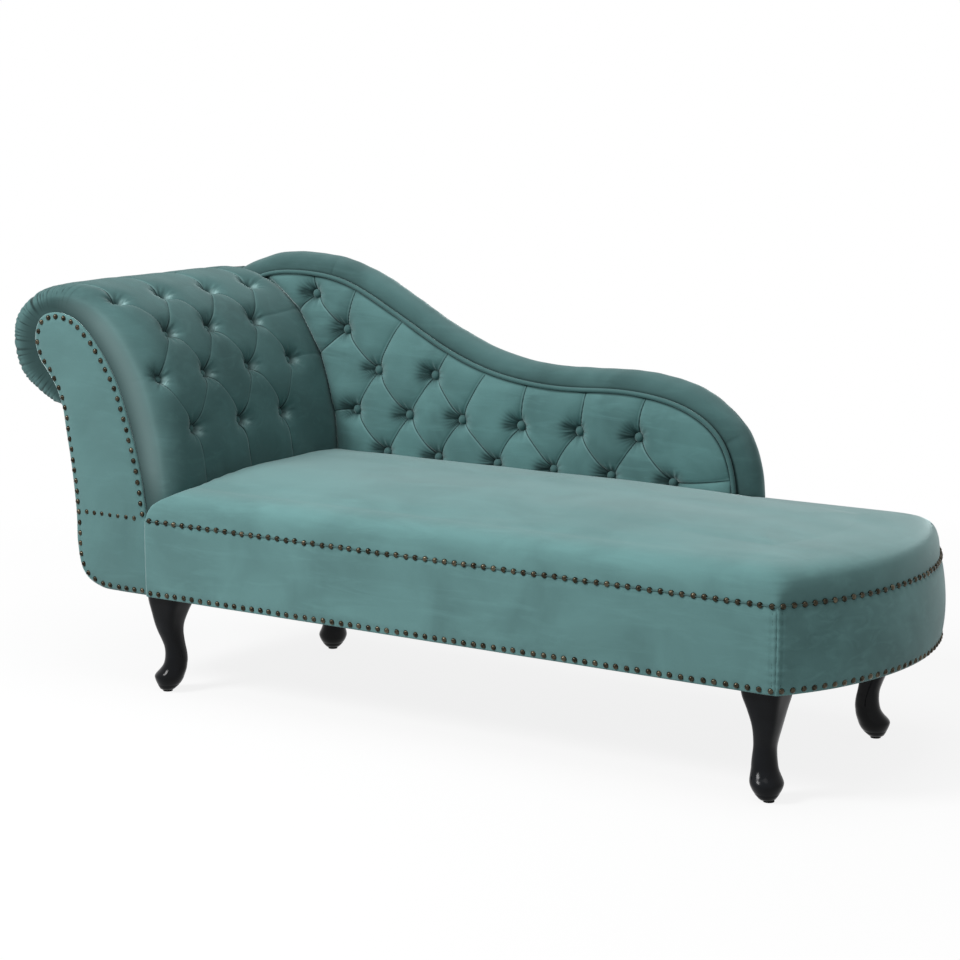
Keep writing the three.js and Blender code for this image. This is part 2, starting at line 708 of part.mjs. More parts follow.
function addArm() {
  const facing = armOutline(nailInset);
  addPiece(arm, 'arm_facing_front', upright(facing, facingFrontY, facingFrontY + facingThickness), velvet);
  addPiece(arm, 'arm_facing_back', upright(facing, backY - facingThickness, backY), velvet);
  const board = armOutline(scrollBoardMargin);
  addPiece(arm, 'scroll_board_front', upright(board, boardFrontY, boardInnerFrontY), plywood);
  addPiece(arm, 'scroll_board_back', upright(board, boardInnerBackY, boardBackY), plywood);
  const linerInner = scrollBoardMargin + clearance;
  const liner = armStrip(linerInner, linerInner + linerThickness, 0, scrollCount, 0);
  addPiece(arm, 'arm_liner', upright(liner, boardFrontY, boardBackY), hardboard);
  const panelEnd = nailLine.length - armOutsideSteps;
  const panel = armStrip(linerInner, nailInset, scrollCount - 1, panelEnd, clearance);
  addPiece(arm, 'head_panel', upright(panel, boardFrontY, boardBackY), velvet);
  const half = armRailWidth / 2;
  for (const [place, reachShare, riseShare] of armRailShares) {
    const at = armPoint(reachShare, riseShare);
    const rail = boxBetween(at.x - half, at.x + half, boardInnerFrontY + clearance,
      boardInnerBackY - clearance, at.y - half, at.y + half);
    addPiece(arm, `arm_rail_${place}`, rail, pine);
  }
  addPiece(arm, 'arm_pad', cut(armPadGeometry(0, true), backZone()), velvet);
}

// Back. The welt's line, as shares of the back's length and rise, from inside the arm
// over the hump and the dip to the foot of its outer end.
const weltShares = [
  [-0.187, 0.92],
  [-0.11, 0.99],
  [-0.005, 1],
  [0.095, 0.966],
  [0.221, 0.829],
  [0.345, 0.681],
  [0.465, 0.589],
  [0.606, 0.553],
  [0.753, 0.565],
  [0.874, 0.529],
  [0.951, 0.444],
  [0.977, 0.372],
  [0.992, 0.28],
  [1, 0.16],
  [1, 0],
];
const weltSteps = 42;
const weltSides = 6;

// The line moved outwards by a distance. Its lower end stands square on the frame.
function weltLine(offset) {
  const points = weltShares.map(([lengthShare, riseShare]) =>
    new THREE.Vector2(jointX + lengthShare * (backLength - borderRise), seatZ + riseShare * backRise));
  const line = offsetLine(new THREE.SplineCurve(points).getSpacedPoints(weltSteps), offset);
  line[weltSteps].y = seatZ;
  return line;
}

// Everything under the line, from the foot of the arm's nail line to the end of the back.
function underWelt(offset) {
  return [...weltLine(offset).reverse(), nailLine[0]];
}

// Sweeps a section along the line. Its corners are given as distance behind the middle and
// height above the line, anticlockwise as seen from the foot end.
function sweepAlongWelt(section) {
  const line = weltLine(0);
  const normals = weltLine(1).map((point, index) => point.sub(line[index]));
  return skinOver(line.map((point, index) => section.map(([y, rise]) =>
    new THREE.Vector3(point.x + normals[index].x * rise, y, point.y + normals[index].y * rise))));
}

const borderArcSteps = 4;
const borderFallPower = 1.25; // 1 falls to the rear edge in a straight line, more stays full

// The ridge stands near the front edge, so the front is round and the top falls to the rear.
function borderSection() {
  const ridgeY = borderFrontY + borderRidgeInset;
  const ridgeRise = borderRise - clearance;
  const section = [
    [rearFrameRearY + clearance, clearance],
    [rearFrameRearY + clearance, -borderSkirt],
    [borderFrontY + borderWidth, -borderSkirt],
  ];
  for (let step = borderArcSteps; step > 0; step -= 1) {
    const share = step / borderArcSteps;
    const y = ridgeY + share * (borderWidth - borderRidgeInset);
    section.push([y, clearance + ridgeRise * (1 - share ** borderFallPower)]);
  }
  for (let step = 0; step <= borderArcSteps; step += 1) {
    const angle = Math.PI / 2 * step / borderArcSteps;
    section.push([ridgeY - borderRidgeInset * Math.sin(angle), clearance + ridgeRise * Math.cos(angle)]);
  }
  return section;
}

function weltSection(grow) {
  const section = [];
  for (let side = 0; side < weltSides; side += 1) {
    const angle = 2 * Math.PI * side / weltSides;
    const y = borderFrontY - clearance - weltRadius + (weltRadius + grow) * Math.cos(angle);
    section.push([y, (weltRadius + grow) * Math.sin(angle)]);
  }
  return section;
}

// The pad's face on a grid in step with its buttons, cut out under the welt.
function backPadGeometry() {
  const line = weltLine(0);
  const columnStep = buttonSpacing / buttonPlaces;
  const rowStep = backRowSpacing / rowPlaces;
  const columnsBefore = Math.ceil((backButtonStart + armReach / 2) / columnStep);
  const firstX = jointX + backButtonStart - columnStep * columnsBefore;
  const lowest = seatZ + backFirstRow % rowStep - rowStep;
  const rear = backBoardFrontY - clearance;
  const rows = [];
  for (let z = lowest; z < seatZ + backRise + rowStep; z += rowStep) rows.push(z);
  rows.reverse();
  const rings = [];
  for (let x = firstX; x < backEndX; x += columnStep) {
    const face = rows.map((z) => {
      const here = new THREE.Vector2(x, z);
      const fromEdge = Math.min(...line.map((point) => point.distanceTo(here))) / backPadEdgeReach;
      const inside = THREE.MathUtils.smoothstep(fromEdge, 0, 1);
      const across = (z - seatZ - backFirstRow) / backRowSpacing;
      const along = (x - jointX - backButtonStart + backRowLean * across) / buttonSpacing;
      const tuft = inside * tuftDepth(along, across, buttonSpacing, backRowSpacing);
      return new THREE.Vector3(x, backPadFaceY + backPadEdgeSink * (1 - inside) + tuft, z);
    });
    const bottom = new THREE.Vector3(x, rear, rows[rows.length - 1]);
    rings.push([bottom, new THREE.Vector3(x, rear, rows[0]), ...face]);
  }
  const shape = keepInside(skinOver(rings), upright(underWelt(-clearance), 0, couchDepth));
  const armFront = keepInside(armPadGeometry(clearance, false),
    boxBetween(-overallLength, overallLength, -couchDepth, borderFrontY, 0, seatZ + armRise + overrun));
  return cut(shape, armFront, sweepAlongWelt(weltSection(clearance)), armRoom());
}

// The arm with a clearance round it, for what ends against its rear.
function armRoom() {
  return upright(armOutline(nailInset + clearance), 0, couchDepth);
}

const backPostShares = [
  ['head', 0.045],
  ['mid', 0.5],
  ['foot', 0.92],
];

function addBack() {
  const board = upright(underWelt(-clearance), backBoardFrontY, backBoardRearY);
  addPiece(back, 'back_board', cut(board, armRoom()), plywood);
  const gapFront = backBoardRearY + clearance;
  const gapRear = rearFrameFrontY - clearance;
  const frameSection = [
    [rearFrameRearY, -rearFrameHeight],
    [rearFrameRearY, -clearance],
    [rearFrameFrontY, -clearance],
    [rearFrameFrontY, -rearFrameHeight],
  ];
  const frame = sweepAlongWelt(frameSection);
  addPiece(back, 'back_rear_frame', cut(frame, armRoom()), plywood);
  const postRoom = upright(underWelt(-clearance), 0, couchDepth);
  for (const [place, share] of backPostShares) {
    const x = jointX + share * backLength;
    const post = boxBetween(x - backPostWidth / 2, x + backPostWidth / 2,
      gapFront, gapRear, seatZ, seatZ + backRise);
    addPiece(back, `back_post_${place}`, cut(keepInside(post, postRoom), armRoom()), pine);
  }
  const outer = upright(underWelt(-borderSkirt - clearance), rearFrameRearY + clearance, backY);
  addPiece(back, 'back_outer_panel', cut(outer, armRoom()), velvet);
  addPiece(back, 'back_pad', backPadGeometry(), velvet);
  const welt = cut(sweepAlongWelt(weltSection(0)), armPadGeometry(clearance, false));
  addPiece(back, 'back_welt', welt, velvet);
  addPiece(back, 'back_border', cut(sweepAlongWelt(borderSection()), armRoom()), velvet);
}

// Nails: low pointed heads on a narrow strip. Each stop is a place on a panel's face, the
// way out of the face, and whether a head sits there.
function nailStrip(stops) {
  const rings = [];
  stops.forEach(({ at, out, headed }, index) => {
    const before = stops[Math.max(index - 1, 0)].at;
    const after = stops[Math.min(index + 1, stops.length - 1)].at;
    const along = after.clone().sub(before).projectOnPlane(out).normalize();
    const side = out.clone().cross(along);
    const addRing = (distance, halfWidth, rise) => {
      const foot = at.clone().addScaledVector(out, clearance).addScaledVector(along, distance);
      const left = foot.clone().addScaledVector(side, -halfWidth);
      const right = foot.clone().addScaledVector(side, halfWidth);
      rings.push([left, right, foot.addScaledVector(out, rise)]);
    };
    if (headed) addRing(-nailRadius, stripWidth / 2, stripThickness);
    if (headed) addRing(0, nailRadius, stripThickness + nailRise);
    addRing(headed ? nailRadius : 0, stripWidth / 2, stripThickness);
  });
  return skinOver(rings);
}

// Even places along a length, half a pitch in from its ends.
function evenPlaces(length) {
  const count = Math.round(length / nailPitch);
  return Array.from({ length: count }, (unused, index) => (index + 1 / 2) * length / count);
}

function bandStops(z) {
  const out = new THREE.Vector3(0, -1, 0);
  const onFront = (distance) => ({ at: new THREE.Vector3(jointX + distance, frontY, z), out, headed: true });
  const reach = Math.asin(backY / bowRadius);
  const onBow = (distance) => {
    const angle = distance / bowRadius - reach;
    const way = new THREE.Vector3(Math.cos(angle), Math.sin(angle), 0);
    const at = new THREE.Vector3(bowCentreX, 0, z).addScaledVector(way, bowRadius);
    return { at, out: way, headed: true };
  };
  const mitre = onBow(0).out.add(out).normalize();
  const corner = { at: new THREE.Vector3(cornerX, frontY, z), out: mitre, headed: false };
  return [
    ...evenPlaces(seatLength).map(onFront),
    corner,
    ...evenPlaces(2 * reach * bowRadius).map(onBow),
  ];
}

function scrollStops() {
  const out = new THREE.Vector3(0, -1, 0);
  const path = new THREE.CurvePath();
  for (let index = 1; index < nailLine.length; index += 1) {
    path.add(new THREE.LineCurve(nailLine[index - 1], nailLine[index]));
  }
  const total = path.getLength();
  return evenPlaces(total).map((distance) => {
    const point = path.getPoint(distance / total);
    return { at: new THREE.Vector3(point.x, facingFrontY, point.y), out, headed: true };
  });
}

function crossStops() {
  const out = new THREE.Vector3(0, -1, 0);
  const left = armPoint(armOutsideShares[armOutsideShares.length - 1][0], 0).x;
  const right = armPoint(armStationShares[0][2], 0).x;
  const count = Math.round((right - left) / nailPitch);
  return Array.from({ length: count + 1 }, (unused, index) => {
    const x = left + index * (right - left) / count;
    return { at: new THREE.Vector3(x, facingFrontY, seatZ), out, headed: index > 0 && index < count };
  });
}

function addNails() {
  addPiece(trim, 'nails_top', nailStrip(bandStops(frameTop)), brass);
  addPiece(trim, 'nails_bottom', nailStrip(bandStops(lowNailZ)), brass);
  addPiece(trim, 'nails_arm', joined([nailStrip(scrollStops()), nailStrip(crossStops())]), brass);
}

addLegs();
addBase();
addSeat();
addArm();
addBack();
addNails();

export default couch;
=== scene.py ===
"""A fainting couch, dressed over its frame: deep-buttoned velvet pads, a crowned seat,
padded border and piping, nailed bands, stitched seams and lacquered cabriole legs."""

import math

import bmesh
import bpy
import numpy as np
from mathutils import Matrix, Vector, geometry


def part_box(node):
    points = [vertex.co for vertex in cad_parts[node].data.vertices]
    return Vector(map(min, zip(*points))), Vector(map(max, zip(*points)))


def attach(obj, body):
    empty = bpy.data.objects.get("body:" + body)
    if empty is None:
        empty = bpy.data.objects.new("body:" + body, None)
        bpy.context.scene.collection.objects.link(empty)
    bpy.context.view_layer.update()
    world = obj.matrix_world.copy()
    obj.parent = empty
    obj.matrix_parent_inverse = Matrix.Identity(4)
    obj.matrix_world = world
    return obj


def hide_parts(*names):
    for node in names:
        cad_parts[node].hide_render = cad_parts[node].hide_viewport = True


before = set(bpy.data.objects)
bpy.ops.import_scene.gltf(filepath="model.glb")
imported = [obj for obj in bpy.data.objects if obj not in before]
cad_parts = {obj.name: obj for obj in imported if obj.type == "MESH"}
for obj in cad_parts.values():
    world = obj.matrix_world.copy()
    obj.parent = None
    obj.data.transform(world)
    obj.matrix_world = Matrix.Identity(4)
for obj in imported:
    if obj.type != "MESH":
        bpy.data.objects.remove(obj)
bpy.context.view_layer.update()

bl_info = {
    "name": "Fainting Couch",
    "version": (1, 0, 0),
    "blender": (4, 5, 0),
    "location": "View3D > Sidebar > Couch",
    "description": "Builds the pads, trim and finishes of a buttoned fainting couch",
    "category": "Add Mesh",
}

# Everything below is in millimetres in the frame's axes; meshes are scaled on the way out.
MM = 0.001

# Sizes that the frame already has. The base: its ends and faces, its bowed foot and its nails.
JOINT_X, FRONT_Y, BASE_BOTTOM = (1000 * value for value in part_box("band_front")[0])
CORNER_X = 767.5
BACK_Y = -FRONT_Y
SEAT_Z = 324.0
LOW_NAIL_Z = 191.0
FRAME_TOP = SEAT_Z - 0.3
FOOT_BOW = 90.0
BOW_RADIUS = (FRONT_Y * FRONT_Y + FOOT_BOW * FOOT_BOW) / (2 * FOOT_BOW)
BOW_CENTRE_X = CORNER_X + FOOT_BOW - BOW_RADIUS
NAIL_INSET = 8.0
STITCH_INSET = 8.0
# The arm: how far it reaches and rises, its boards, and how its pad is rounded and tucked in.
ARM_REACH = 346.0
ARM_RISE = 423.0
FACING_FRONT_Y = -287.0
BOARD_FRONT_Y = -281.7
BOARD_BACK_Y = 291.7
PAD_INNER = 6.1
ARM_EDGE = 100.0
ARM_EDGE_POWER = 4.0
ARM_EDGE_LINES = 48
ARM_REAR_EDGE = 45.0
TUCK = 12.0
# The back: its pad, its border and its piping.
BACK_FACE_Y = 192.3
BACK_BOARD_Y = 230.0
BORDER_FRONT_Y = 206.0
BORDER_BACK_Y = 300.0
BORDER_RISE = 38.0
BORDER_RIDGE_Y = 238.0
BORDER_SKIRT = 25.0
BORDER_END_X = -722.0
WELT_LENGTH = 940.0
WELT_RISE = 414.0
# The legs.
LEG_HEIGHT = 180.0
GLIDE_HEIGHT = 3.0
LEG_TOP = 66.0
# The back pad starts here, hidden by the arm, and beyond it the arm pad runs on to the rear.
BACK_HIDDEN_X = -690.0
ARM_FREE_X = -706.0
# The inner face of the rear covers.
REAR_INNER_Y = 291.5

# Stations of the arm from the seat round the roll to its tuck: the pad's outline and the
# nail line, each as shares of the arm's reach and rise.
ARM_STATIONS = [
    (0.187, 0, -0.04, 0), (0.181, 0.203, -0.08, 0.203), (0.152, 0.376, -0.137, 0.376),
    (0.068, 0.605, -0.236, 0.584), (-0.108, 0.827, -0.373, 0.738), (-0.322, 0.948, -0.484, 0.818),
    (-0.565, 0.988, -0.6, 0.846), (-0.798, 0.952, -0.701, 0.832), (-0.958, 0.85, -0.747, 0.785),
    (-1.005, 0.724, -0.756, 0.728), (-0.956, 0.592, -0.727, 0.664), (-0.832, 0.506, -0.678, 0.617),
    (-0.718, 0.468, -0.617, 0.546), (-0.574, 0.463, -0.574, 0.463),
]
ARM_OUTSIDE = [(-0.552, 0.371), (-0.514, 0.177), (-0.49, -0.017)]
ARM_CORNER = [(-0.486, 0.534), (-0.45, 0.173), (-0.345, 0.023), (-0.218, 0)]

# The line of the piping, as shares of the back's length and rise.
WELT_SHARES = [
    (-0.187, 0.92), (-0.11, 0.99), (-0.005, 1), (0.095, 0.966), (0.221, 0.829),
    (0.345, 0.681), (0.465, 0.589), (0.606, 0.553), (0.753, 0.565), (0.874, 0.529),
    (0.951, 0.444), (0.977, 0.372), (0.992, 0.28), (1, 0.16), (1, 0),
]

# Legs: height share, shift towards the toe, width share and squareness of the section.
LEG_FOOT = [(0, 0.25, 0.34, 0), (0.012, 0.25, 0.43, 0), (0.05, 0.22, 0.6, 0)]
LEG_BODY = [
    (0.053, 0.22, 0.6, 0), (0.08, 0.205, 0.7, 0), (0.115, 0.195, 0.79, 0), (0.145, 0.185, 0.83, 0),
    (0.175, 0.145, 0.81, 0), (0.215, 0.075, 0.74, 0), (0.262, 0.02, 0.67, 0), (0.315, -0.01, 0.635, 0.05),
    (0.385, -0.01, 0.59, 0.15), (0.455, 0.02, 0.555, 0.3), (0.525, 0.07, 0.575, 0.4),
    (0.61, 0.13, 0.63, 0.5), (0.7, 0.155, 0.71, 0.62), (0.82, 0.13, 0.85, 0.8),
    (0.92, 0.095, 0.98, 0.95), (1, 0.08, 1.04, 1),
]
# Legs in plan: name, from the arm joint or the foot corner, from the front or the back, turns.
LEG_PLACES = [
    ("front_head", JOINT_X + 22, FRONT_Y + 53, 2), ("front_foot", CORNER_X - 44, FRONT_Y + 53, 3),
    ("back_head", JOINT_X + 73, BACK_Y - 128, 1), ("back_foot", CORNER_X - 61, BACK_Y - 128, 0),
]

# The seat's edge: how far in from its outline, and how high above the frame.
SEAT_EDGE = [
    (0, 0), (0.4, 8), (1, 18), (2.5, 28), (6, 38), (11, 45), (18, 50.5), (28, 55), (42, 58.5), (55, 60.5),
]

# Buttons of the arm: along the pad from the seat, and depth from front to back.
ARM_BUTTONS = [
    (455, -239), (455, -114), (455, 20), (455, 142),
    (358, -182), (358, -66), (358, 66),
    (266, -258), (266, -133), (266, -6), (266, 119),
    (165, -202), (165, -68), (165, 58),
]
# Pleats of the arm that run out to an edge: a button, then where the pleat ends.
ARM_TAILS = [
    (0, (615, -238), 1.0), (1, (625, -114), 1.0), (2, (625, 20), 1.0), (3, (620, 140), 1.0),
    (0, (478, -262), 0.35), (6, (365, 204), 0.3), (7, (258, -281), 0.16),
    (10, (262, 204), 0.42), (3, (468, 204), 0.4),
    (11, (30, -194), 0.6), (12, (30, -62), 0.7), (13, (30, 66), 0.7),
]

# Buttons of the back, along the couch and up, then their pleats that run out to an edge.
BACK_BUTTONS = [
    (-504.5, 698), (-430.5, 633), (-355.5, 558), (-222.5, 558),
    (-408.5, 477), (-282.5, 477), (-160.5, 477), (-26.5, 477), (99.5, 477), (225.5, 477),
    (-335.5, 400), (-214.5, 400), (-80, 400), (43.5, 400), (168.5, 400), (298.5, 400),
]
BACK_TAILS = [
    (0, (-509, 736), 1.0), (1, (-404, 716), 1.0), (2, (-290, 664), 1.0), (3, (-190, 602), 1.0),
    (6, (-106, 566), 1.0), (7, (-12, 560), 1.0), (8, (115, 555), 1.0), (9, (244, 557), 1.0),
    (15, (425, 418), 1.0), (0, (-545, 662), 1.0), (1, (-500, 578), 1.0), (4, (-470, 468), 0.9),
    (10, (-352, 326), 0.9), (11, (-226, 326), 0.9), (12, (-92, 326), 0.9), (13, (34, 326), 0.9),
    (14, (160, 326), 0.9), (15, (300, 326), 0.9),
]

# Painted light and shade round a button: a way from it, how far off, how wide, how much lighter; more than 0
# is a painted highlight, less is painted shade.
ARM_SHADING_ROUND_BUTTONS = [((-0.6, 0.8), 10, 7.5, 2.6), ((0.6, -0.8), 13, 11, -0.9)]
BACK_SHADING_ROUND_BUTTONS = [((-1, 0.15), 16, 17, -1.9), ((0.7, -0.7), 17, 8, 0.3)]
# Which buttons a pleat joins: the least and the most across, and the most along.
ARM_PLEATS = (40, 105, 115)
BACK_PLEATS = (40, 95, 96)
# How round the pillows are, from flat between their grooves to round right across.
ARM_FULLNESS = 0.24
BACK_FULLNESS = 0.8
# A pleat: how far its pillows slope down to it, how far it wanders off its line, how wide and
# how deep its groove is, and how far off a place still belongs to it.
PILLOW_REACH = 36.0
PLEAT_BEND = 3.0
GROOVE_WIDTH = 2.7
GROOVE_SHARE = 0.42
PLEAT_NEAR = 9.0
# A button: how far it draws the cover in, how wide its dip, its hole and the painted shade of its dark
# pit are, and where and how deep the cover puckers round it.
BUTTON_REACH = 70.0
DIP_WIDTH = 23.0
HOLE_RADIUS, HOLE_SLOPE = 7.0, 6.0
PIT_SHADE_WIDTH = 12.5
PUCKER_RADIUS, PUCKER_WIDTH = 17.0, 9.0
PUCKER_DEPTH = 0.8

# Along the arm pad from the seat, each as a start and an end: where the buttoning fades out,
# where the gathers round the head of the roll come and go, and where the painted highlight along the front
# edge does.
BUTTONING_FADE = (660, 600)
GATHERS_COME, GATHERS_GO = (520, 640), (980, 930)
PAINTED_HIGHLIGHT_COMES, PAINTED_HIGHLIGHT_GOES = (0, 90), (580, 410)
# How far in from the front the gathers reach, and how wide the painted highlight along the front edge may
# be.
GATHERS_REACH = 82.0
PAINTED_HIGHLIGHT_REACH = 60.0

# The back pad sinks towards the piping by so much, over so much.
BACK_SINK, BACK_SINK_WIDTH = 14.0, 42.0

# The seat: rows of its edge, how high and how far in it is crowned, and where and how far it
# slopes down to its foot end.
SEAT_ROWS = 28
CROWN_RISE, CROWN_REACH = 25.0, 185.0
FOOT_SLOPE, FOOT_DROP = (300, 750), 13.0

# The padded foot end: its swell halfway up and at its lower edge, and how far from its corners
# it is full.
FOOT_SWELL, FOOT_LOW_SWELL = 7.5, 2.5
FOOT_CORNER = 110.0
BAND_THICKNESS = 9.7

# A nail: how deep it sits, and how far off its place, its row and its aim it is set by hand.
NAIL_SINK = 0.6
NAIL_OFF_PLACE, NAIL_OFF_ROW, NAIL_OFF_AIM = 0.5, 0.35, 0.06

# A leg's mesh, and how square its square sections are.
LEG_SIDES, LEG_ROWS = 44, 84
LEG_SQUARE_POWER = 7

# How coarse the arm's shape is that the cushion is cut back to.
CARVE_STEP = 18.0

# Where a pull puckers the border: at a place along it, and at a height where it falls.
BORDER_PUCKERS = [(0, -469.8), (1, 479.3)]

# The back's room in the cushion, in plan: its front face, then round the end of the border.
BACK_ROOM = [
    (JOINT_X - 20, 191.8), (463.8, 191.8), (463.8, 246), (457, 261), (447, 278),
    (436, 291), (427.5, 300.5), (427.5, 320), (JOINT_X - 20, 320),
]
# The cushion's corner beside the arm: how far off the arm, and how high it may stand there.
SEAT_CORNER = [[0, 5, 14, 29, 50, 75, 100], [3, 16, 29, 39, 49, 63, 90]]

# The photograph's view: the lens in millimetres, then the camera's axes and place in metres.
CAMERA_LENS = 93.375
CAMERA_AXES = [(0.82999, 0.55778, 0.0), (-0.09433, 0.14037, 0.9856), (0.54975, -0.81803, 0.16912)]
CAMERA_PLACE = (2.4663, -3.6417, 1.1609)
# Soft lamps: name, place, width and power; all face one point of the couch.
LAMPS = [("key", (-2.2, -3.6, 4.0), 1.6, 215.0), ("top", (0.2, -0.4, 3.9), 3.0, 50.0)]
LAMP_AIM = (0.0, 0.0, 0.4)
SKY_STRENGTH = 0.3
# The floor: its radius, from where to where it turns white, and how white it is near.
FLOOR_RADIUS = 14.0
FLOOR_FADE = (1.1, 2.2)
FLOOR_WHITE = 0.86


def length_property(name, description, default):
    """A length that the user can change, in metres."""
    return bpy.props.FloatProperty(name=name, description=description, default=default,
                                   min=0.0, precision=4, subtype="DISTANCE", unit="LENGTH")


def colour_property(name, description, default):
    """A colour that the user can change, in linear values."""
    return bpy.props.FloatVectorProperty(name=name, description=description, default=default,
                                         size=3, min=0.0, max=1.0, subtype="COLOR")


class CouchSizes(bpy.types.PropertyGroup):
    """Sizes of the upholstery that don't belong to the frame."""
    weave_step: length_property("Cover step", "Spacing of the points of a buttoned cover", 0.0024)
    pleat_depth: length_property("Pleat depth", "How deep a pleat lies below the pillows", 0.0095)
    button_depth: length_property("Button depth", "How much deeper the arm's buttons are drawn in", 0.019)
    back_button_depth: length_property("Back button depth", "The same on the back", 0.0125)
    pillow_rise: length_property("Pillow rise", "How far the pillows swell past the frame's pad", 0.0015)
    button_width: length_property("Button width", "Width of a covered button", 0.0185)
    button_rise: length_property("Button rise", "Height of a covered button", 0.0085)
    nail_pitch: length_property("Nail pitch", "Spacing of the nails", 0.0196)
    nail_width: length_property("Nail width", "Width of a nail's head", 0.0104)
    nail_rise: length_property("Nail rise", "Height of a nail's head", 0.0042)
    cord_width: length_property("Piping width", "Width of the piping under the border", 0.0082)
    stitch_length: length_property("Stitch length", "Length of a stitch on the corner seam", 0.0042)
    stitch_width: length_property("Stitch width", "Width of a stitch", 0.0012)


class CouchColours(bpy.types.PropertyGroup):
    """Colours of the finishes."""
    velvet: colour_property("Velvet", "Cover of the whole couch", (0.13, 0.268, 0.266))
    brass: colour_property("Nails", "Worn antique brass", (0.23, 0.2, 0.14))
    lacquer: colour_property("Lacquer", "Black lacquer of the legs", (0.004, 0.005, 0.0065))
    pine: colour_property("Pine", "Softwood rails and posts", (0.58, 0.39, 0.19))
    plywood: colour_property("Plywood", "Boards of the arm and the back", (0.48, 0.30, 0.14))
    hardboard: colour_property("Hardboard", "Bent liner of the arm", (0.20, 0.105, 0.047))
    foam: colour_property("Foam", "Core of the seat", (0.79, 0.74, 0.48))
    deck_cloth: colour_property("Deck cloth", "Cloth over the springs", (0.33, 0.33, 0.29))
    dust_cloth: colour_property("Dust cloth", "Thin cloth under the frame", (0.011, 0.011, 0.012))
    steel: colour_property("Steel", "Springs, plates and bolts", (0.45, 0.46, 0.47))
    felt: colour_property("Felt", "Discs under the feet", (0.042, 0.042, 0.042))


# Curves and outlines.

def spline(points, at):
    """Catmull-Rom curve through the points, with places counted in spans."""
    points = np.asarray(points, float)
    last = len(points) - 1
    span = np.clip(np.floor(at).astype(int), 0, last - 1)
    step = (np.asarray(at) - span)[:, None]
    before, start = points[np.maximum(span - 1, 0)], points[span]
    end, after = points[span + 1], points[np.minimum(span + 2, last)]
    slope_in, slope_out = (end - before) / 2, (after - start) / 2
    return ((2 * start - 2 * end + slope_in + slope_out) * step ** 3
            + (3 * end - 3 * start - 2 * slope_in - slope_out) * step ** 2
            + slope_in * step + start)


def lengths_along(points):
    """Distance of each point from the first, along the line."""
    steps = np.linalg.norm(np.diff(points, axis=0), axis=1)
    return np.concatenate([[0.0], np.cumsum(steps)])


def even_line(points, step):
    """The line again with points an even step apart, and how far along each one is."""
    run = lengths_along(points)
    places = np.linspace(0, run[-1], max(int(round(run[-1] / step)), 1) + 1)
    columns = [np.interp(places, run, points[:, axis]) for axis in range(points.shape[1])]
    return np.stack(columns, axis=1), places


def smoothed(line, width):
    """The line with its turns softened over a width in points; the ends stay."""
    reach = 3 * width
    kernel = np.exp(-0.5 * (np.arange(-reach, reach + 1) / width) ** 2)
    kernel /= kernel.sum()
    inner = np.vstack([2 * line[0] - line[reach:0:-1], line, 2 * line[-1] - line[-2:-reach - 2:-1]])
    return np.stack([np.convolve(inner[:, axis], kernel, "valid") for axis in range(2)], axis=1)


def left_normals(line):
    """Unit vectors to the left of an open flat line."""
    along = np.empty_like(line)
    along[1:-1] = line[2:] - line[:-2]
    along[0], along[-1] = line[1] - line[0], line[-1] - line[-2]
    along /= np.linalg.norm(along, axis=1)[:, None]
    return np.stack([-along[:, 1], along[:, 0]], axis=1)


def ramp(value, start, end):
    """0 up to a start, rising evenly to 1 at an end; the end may lie below the start."""
    return np.clip((value - start) / (end - start), 0, 1)


def bell(distance, width):
    """1 at no distance, falling off over a width."""
    return np.exp(-(distance / width) ** 2)


def rounded_edge(gap, radius):
    """0 at an edge, rising in a quarter round to 1 at a radius from it."""
    return np.sqrt(np.clip(1 - (1 - np.minimum(gap, radius) / radius) ** 2, 0, 1))


def standing(flat, y):
    """Points of the side view, x and z, put at their depths."""
    return np.stack([flat[:, 0], np.broadcast_to(y, len(flat)), flat[:, 1]], axis=1)


def lying(flat, z):
    """Points of the plan, x and y, put at their heights."""
    return np.stack([flat[:, 0], flat[:, 1], np.broadcast_to(z, len(flat))], axis=1)


def arm_place(reach_share, rise_share):
    """A place on the arm's side view from its shares."""
    return JOINT_X + reach_share * ARM_REACH, SEAT_Z + rise_share * ARM_RISE


def nail_controls():
    """Points of the nail line, anticlockwise from the seat over the roll to the base."""
    points = [arm_place(row[2], row[3]) for row in ARM_STATIONS]
    points += [arm_place(*row) for row in ARM_OUTSIDE]
    height = SEAT_Z - LOW_NAIL_Z
    points += [(JOINT_X + reach * ARM_REACH, LOW_NAIL_Z + share * height) for reach, share in ARM_CORNER]
    return np.array(points + [(JOINT_X - NAIL_INSET, LOW_NAIL_Z)])


def face_controls():
    """Points of the arm pad's outline, with its end tucked in under the roll."""
    points = [arm_place(row[0], row[1]) for row in ARM_STATIONS[:-1]]
    nails = nail_controls()
    tuck = len(ARM_STATIONS) - 1
    along = nails[tuck + 1] - nails[tuck - 1]
    along /= np.linalg.norm(along)
    points.append(tuple(nails[tuck] + TUCK * np.array([along[1], -along[0]])))
    return np.array(points)


def nail_line(step, past=0.0, last=None):
    """The nail line with even points, moved outwards; last ends it at a control point."""
    controls = nail_controls()
    end = len(controls) - 1 if last is None else last
    line, _ = even_line(spline(controls, np.linspace(0, end, 1200)), step)
    line = line - past * left_normals(line)
    line[0, 1] = SEAT_Z
    return line


def welt_line(offset, step=3.0):
    """The piping's line moved outwards, ending square on the frame."""
    controls = [(JOINT_X + share * WELT_LENGTH, SEAT_Z + rise * WELT_RISE) for share, rise in WELT_SHARES]
    line, _ = even_line(spline(controls, np.linspace(0, len(controls) - 1, 1500)), step)
    line = smoothed(line, max(int(round(34 / step)), 1))
    line = line + offset * left_normals(line)
    line[-1, 1] = SEAT_Z
    return line


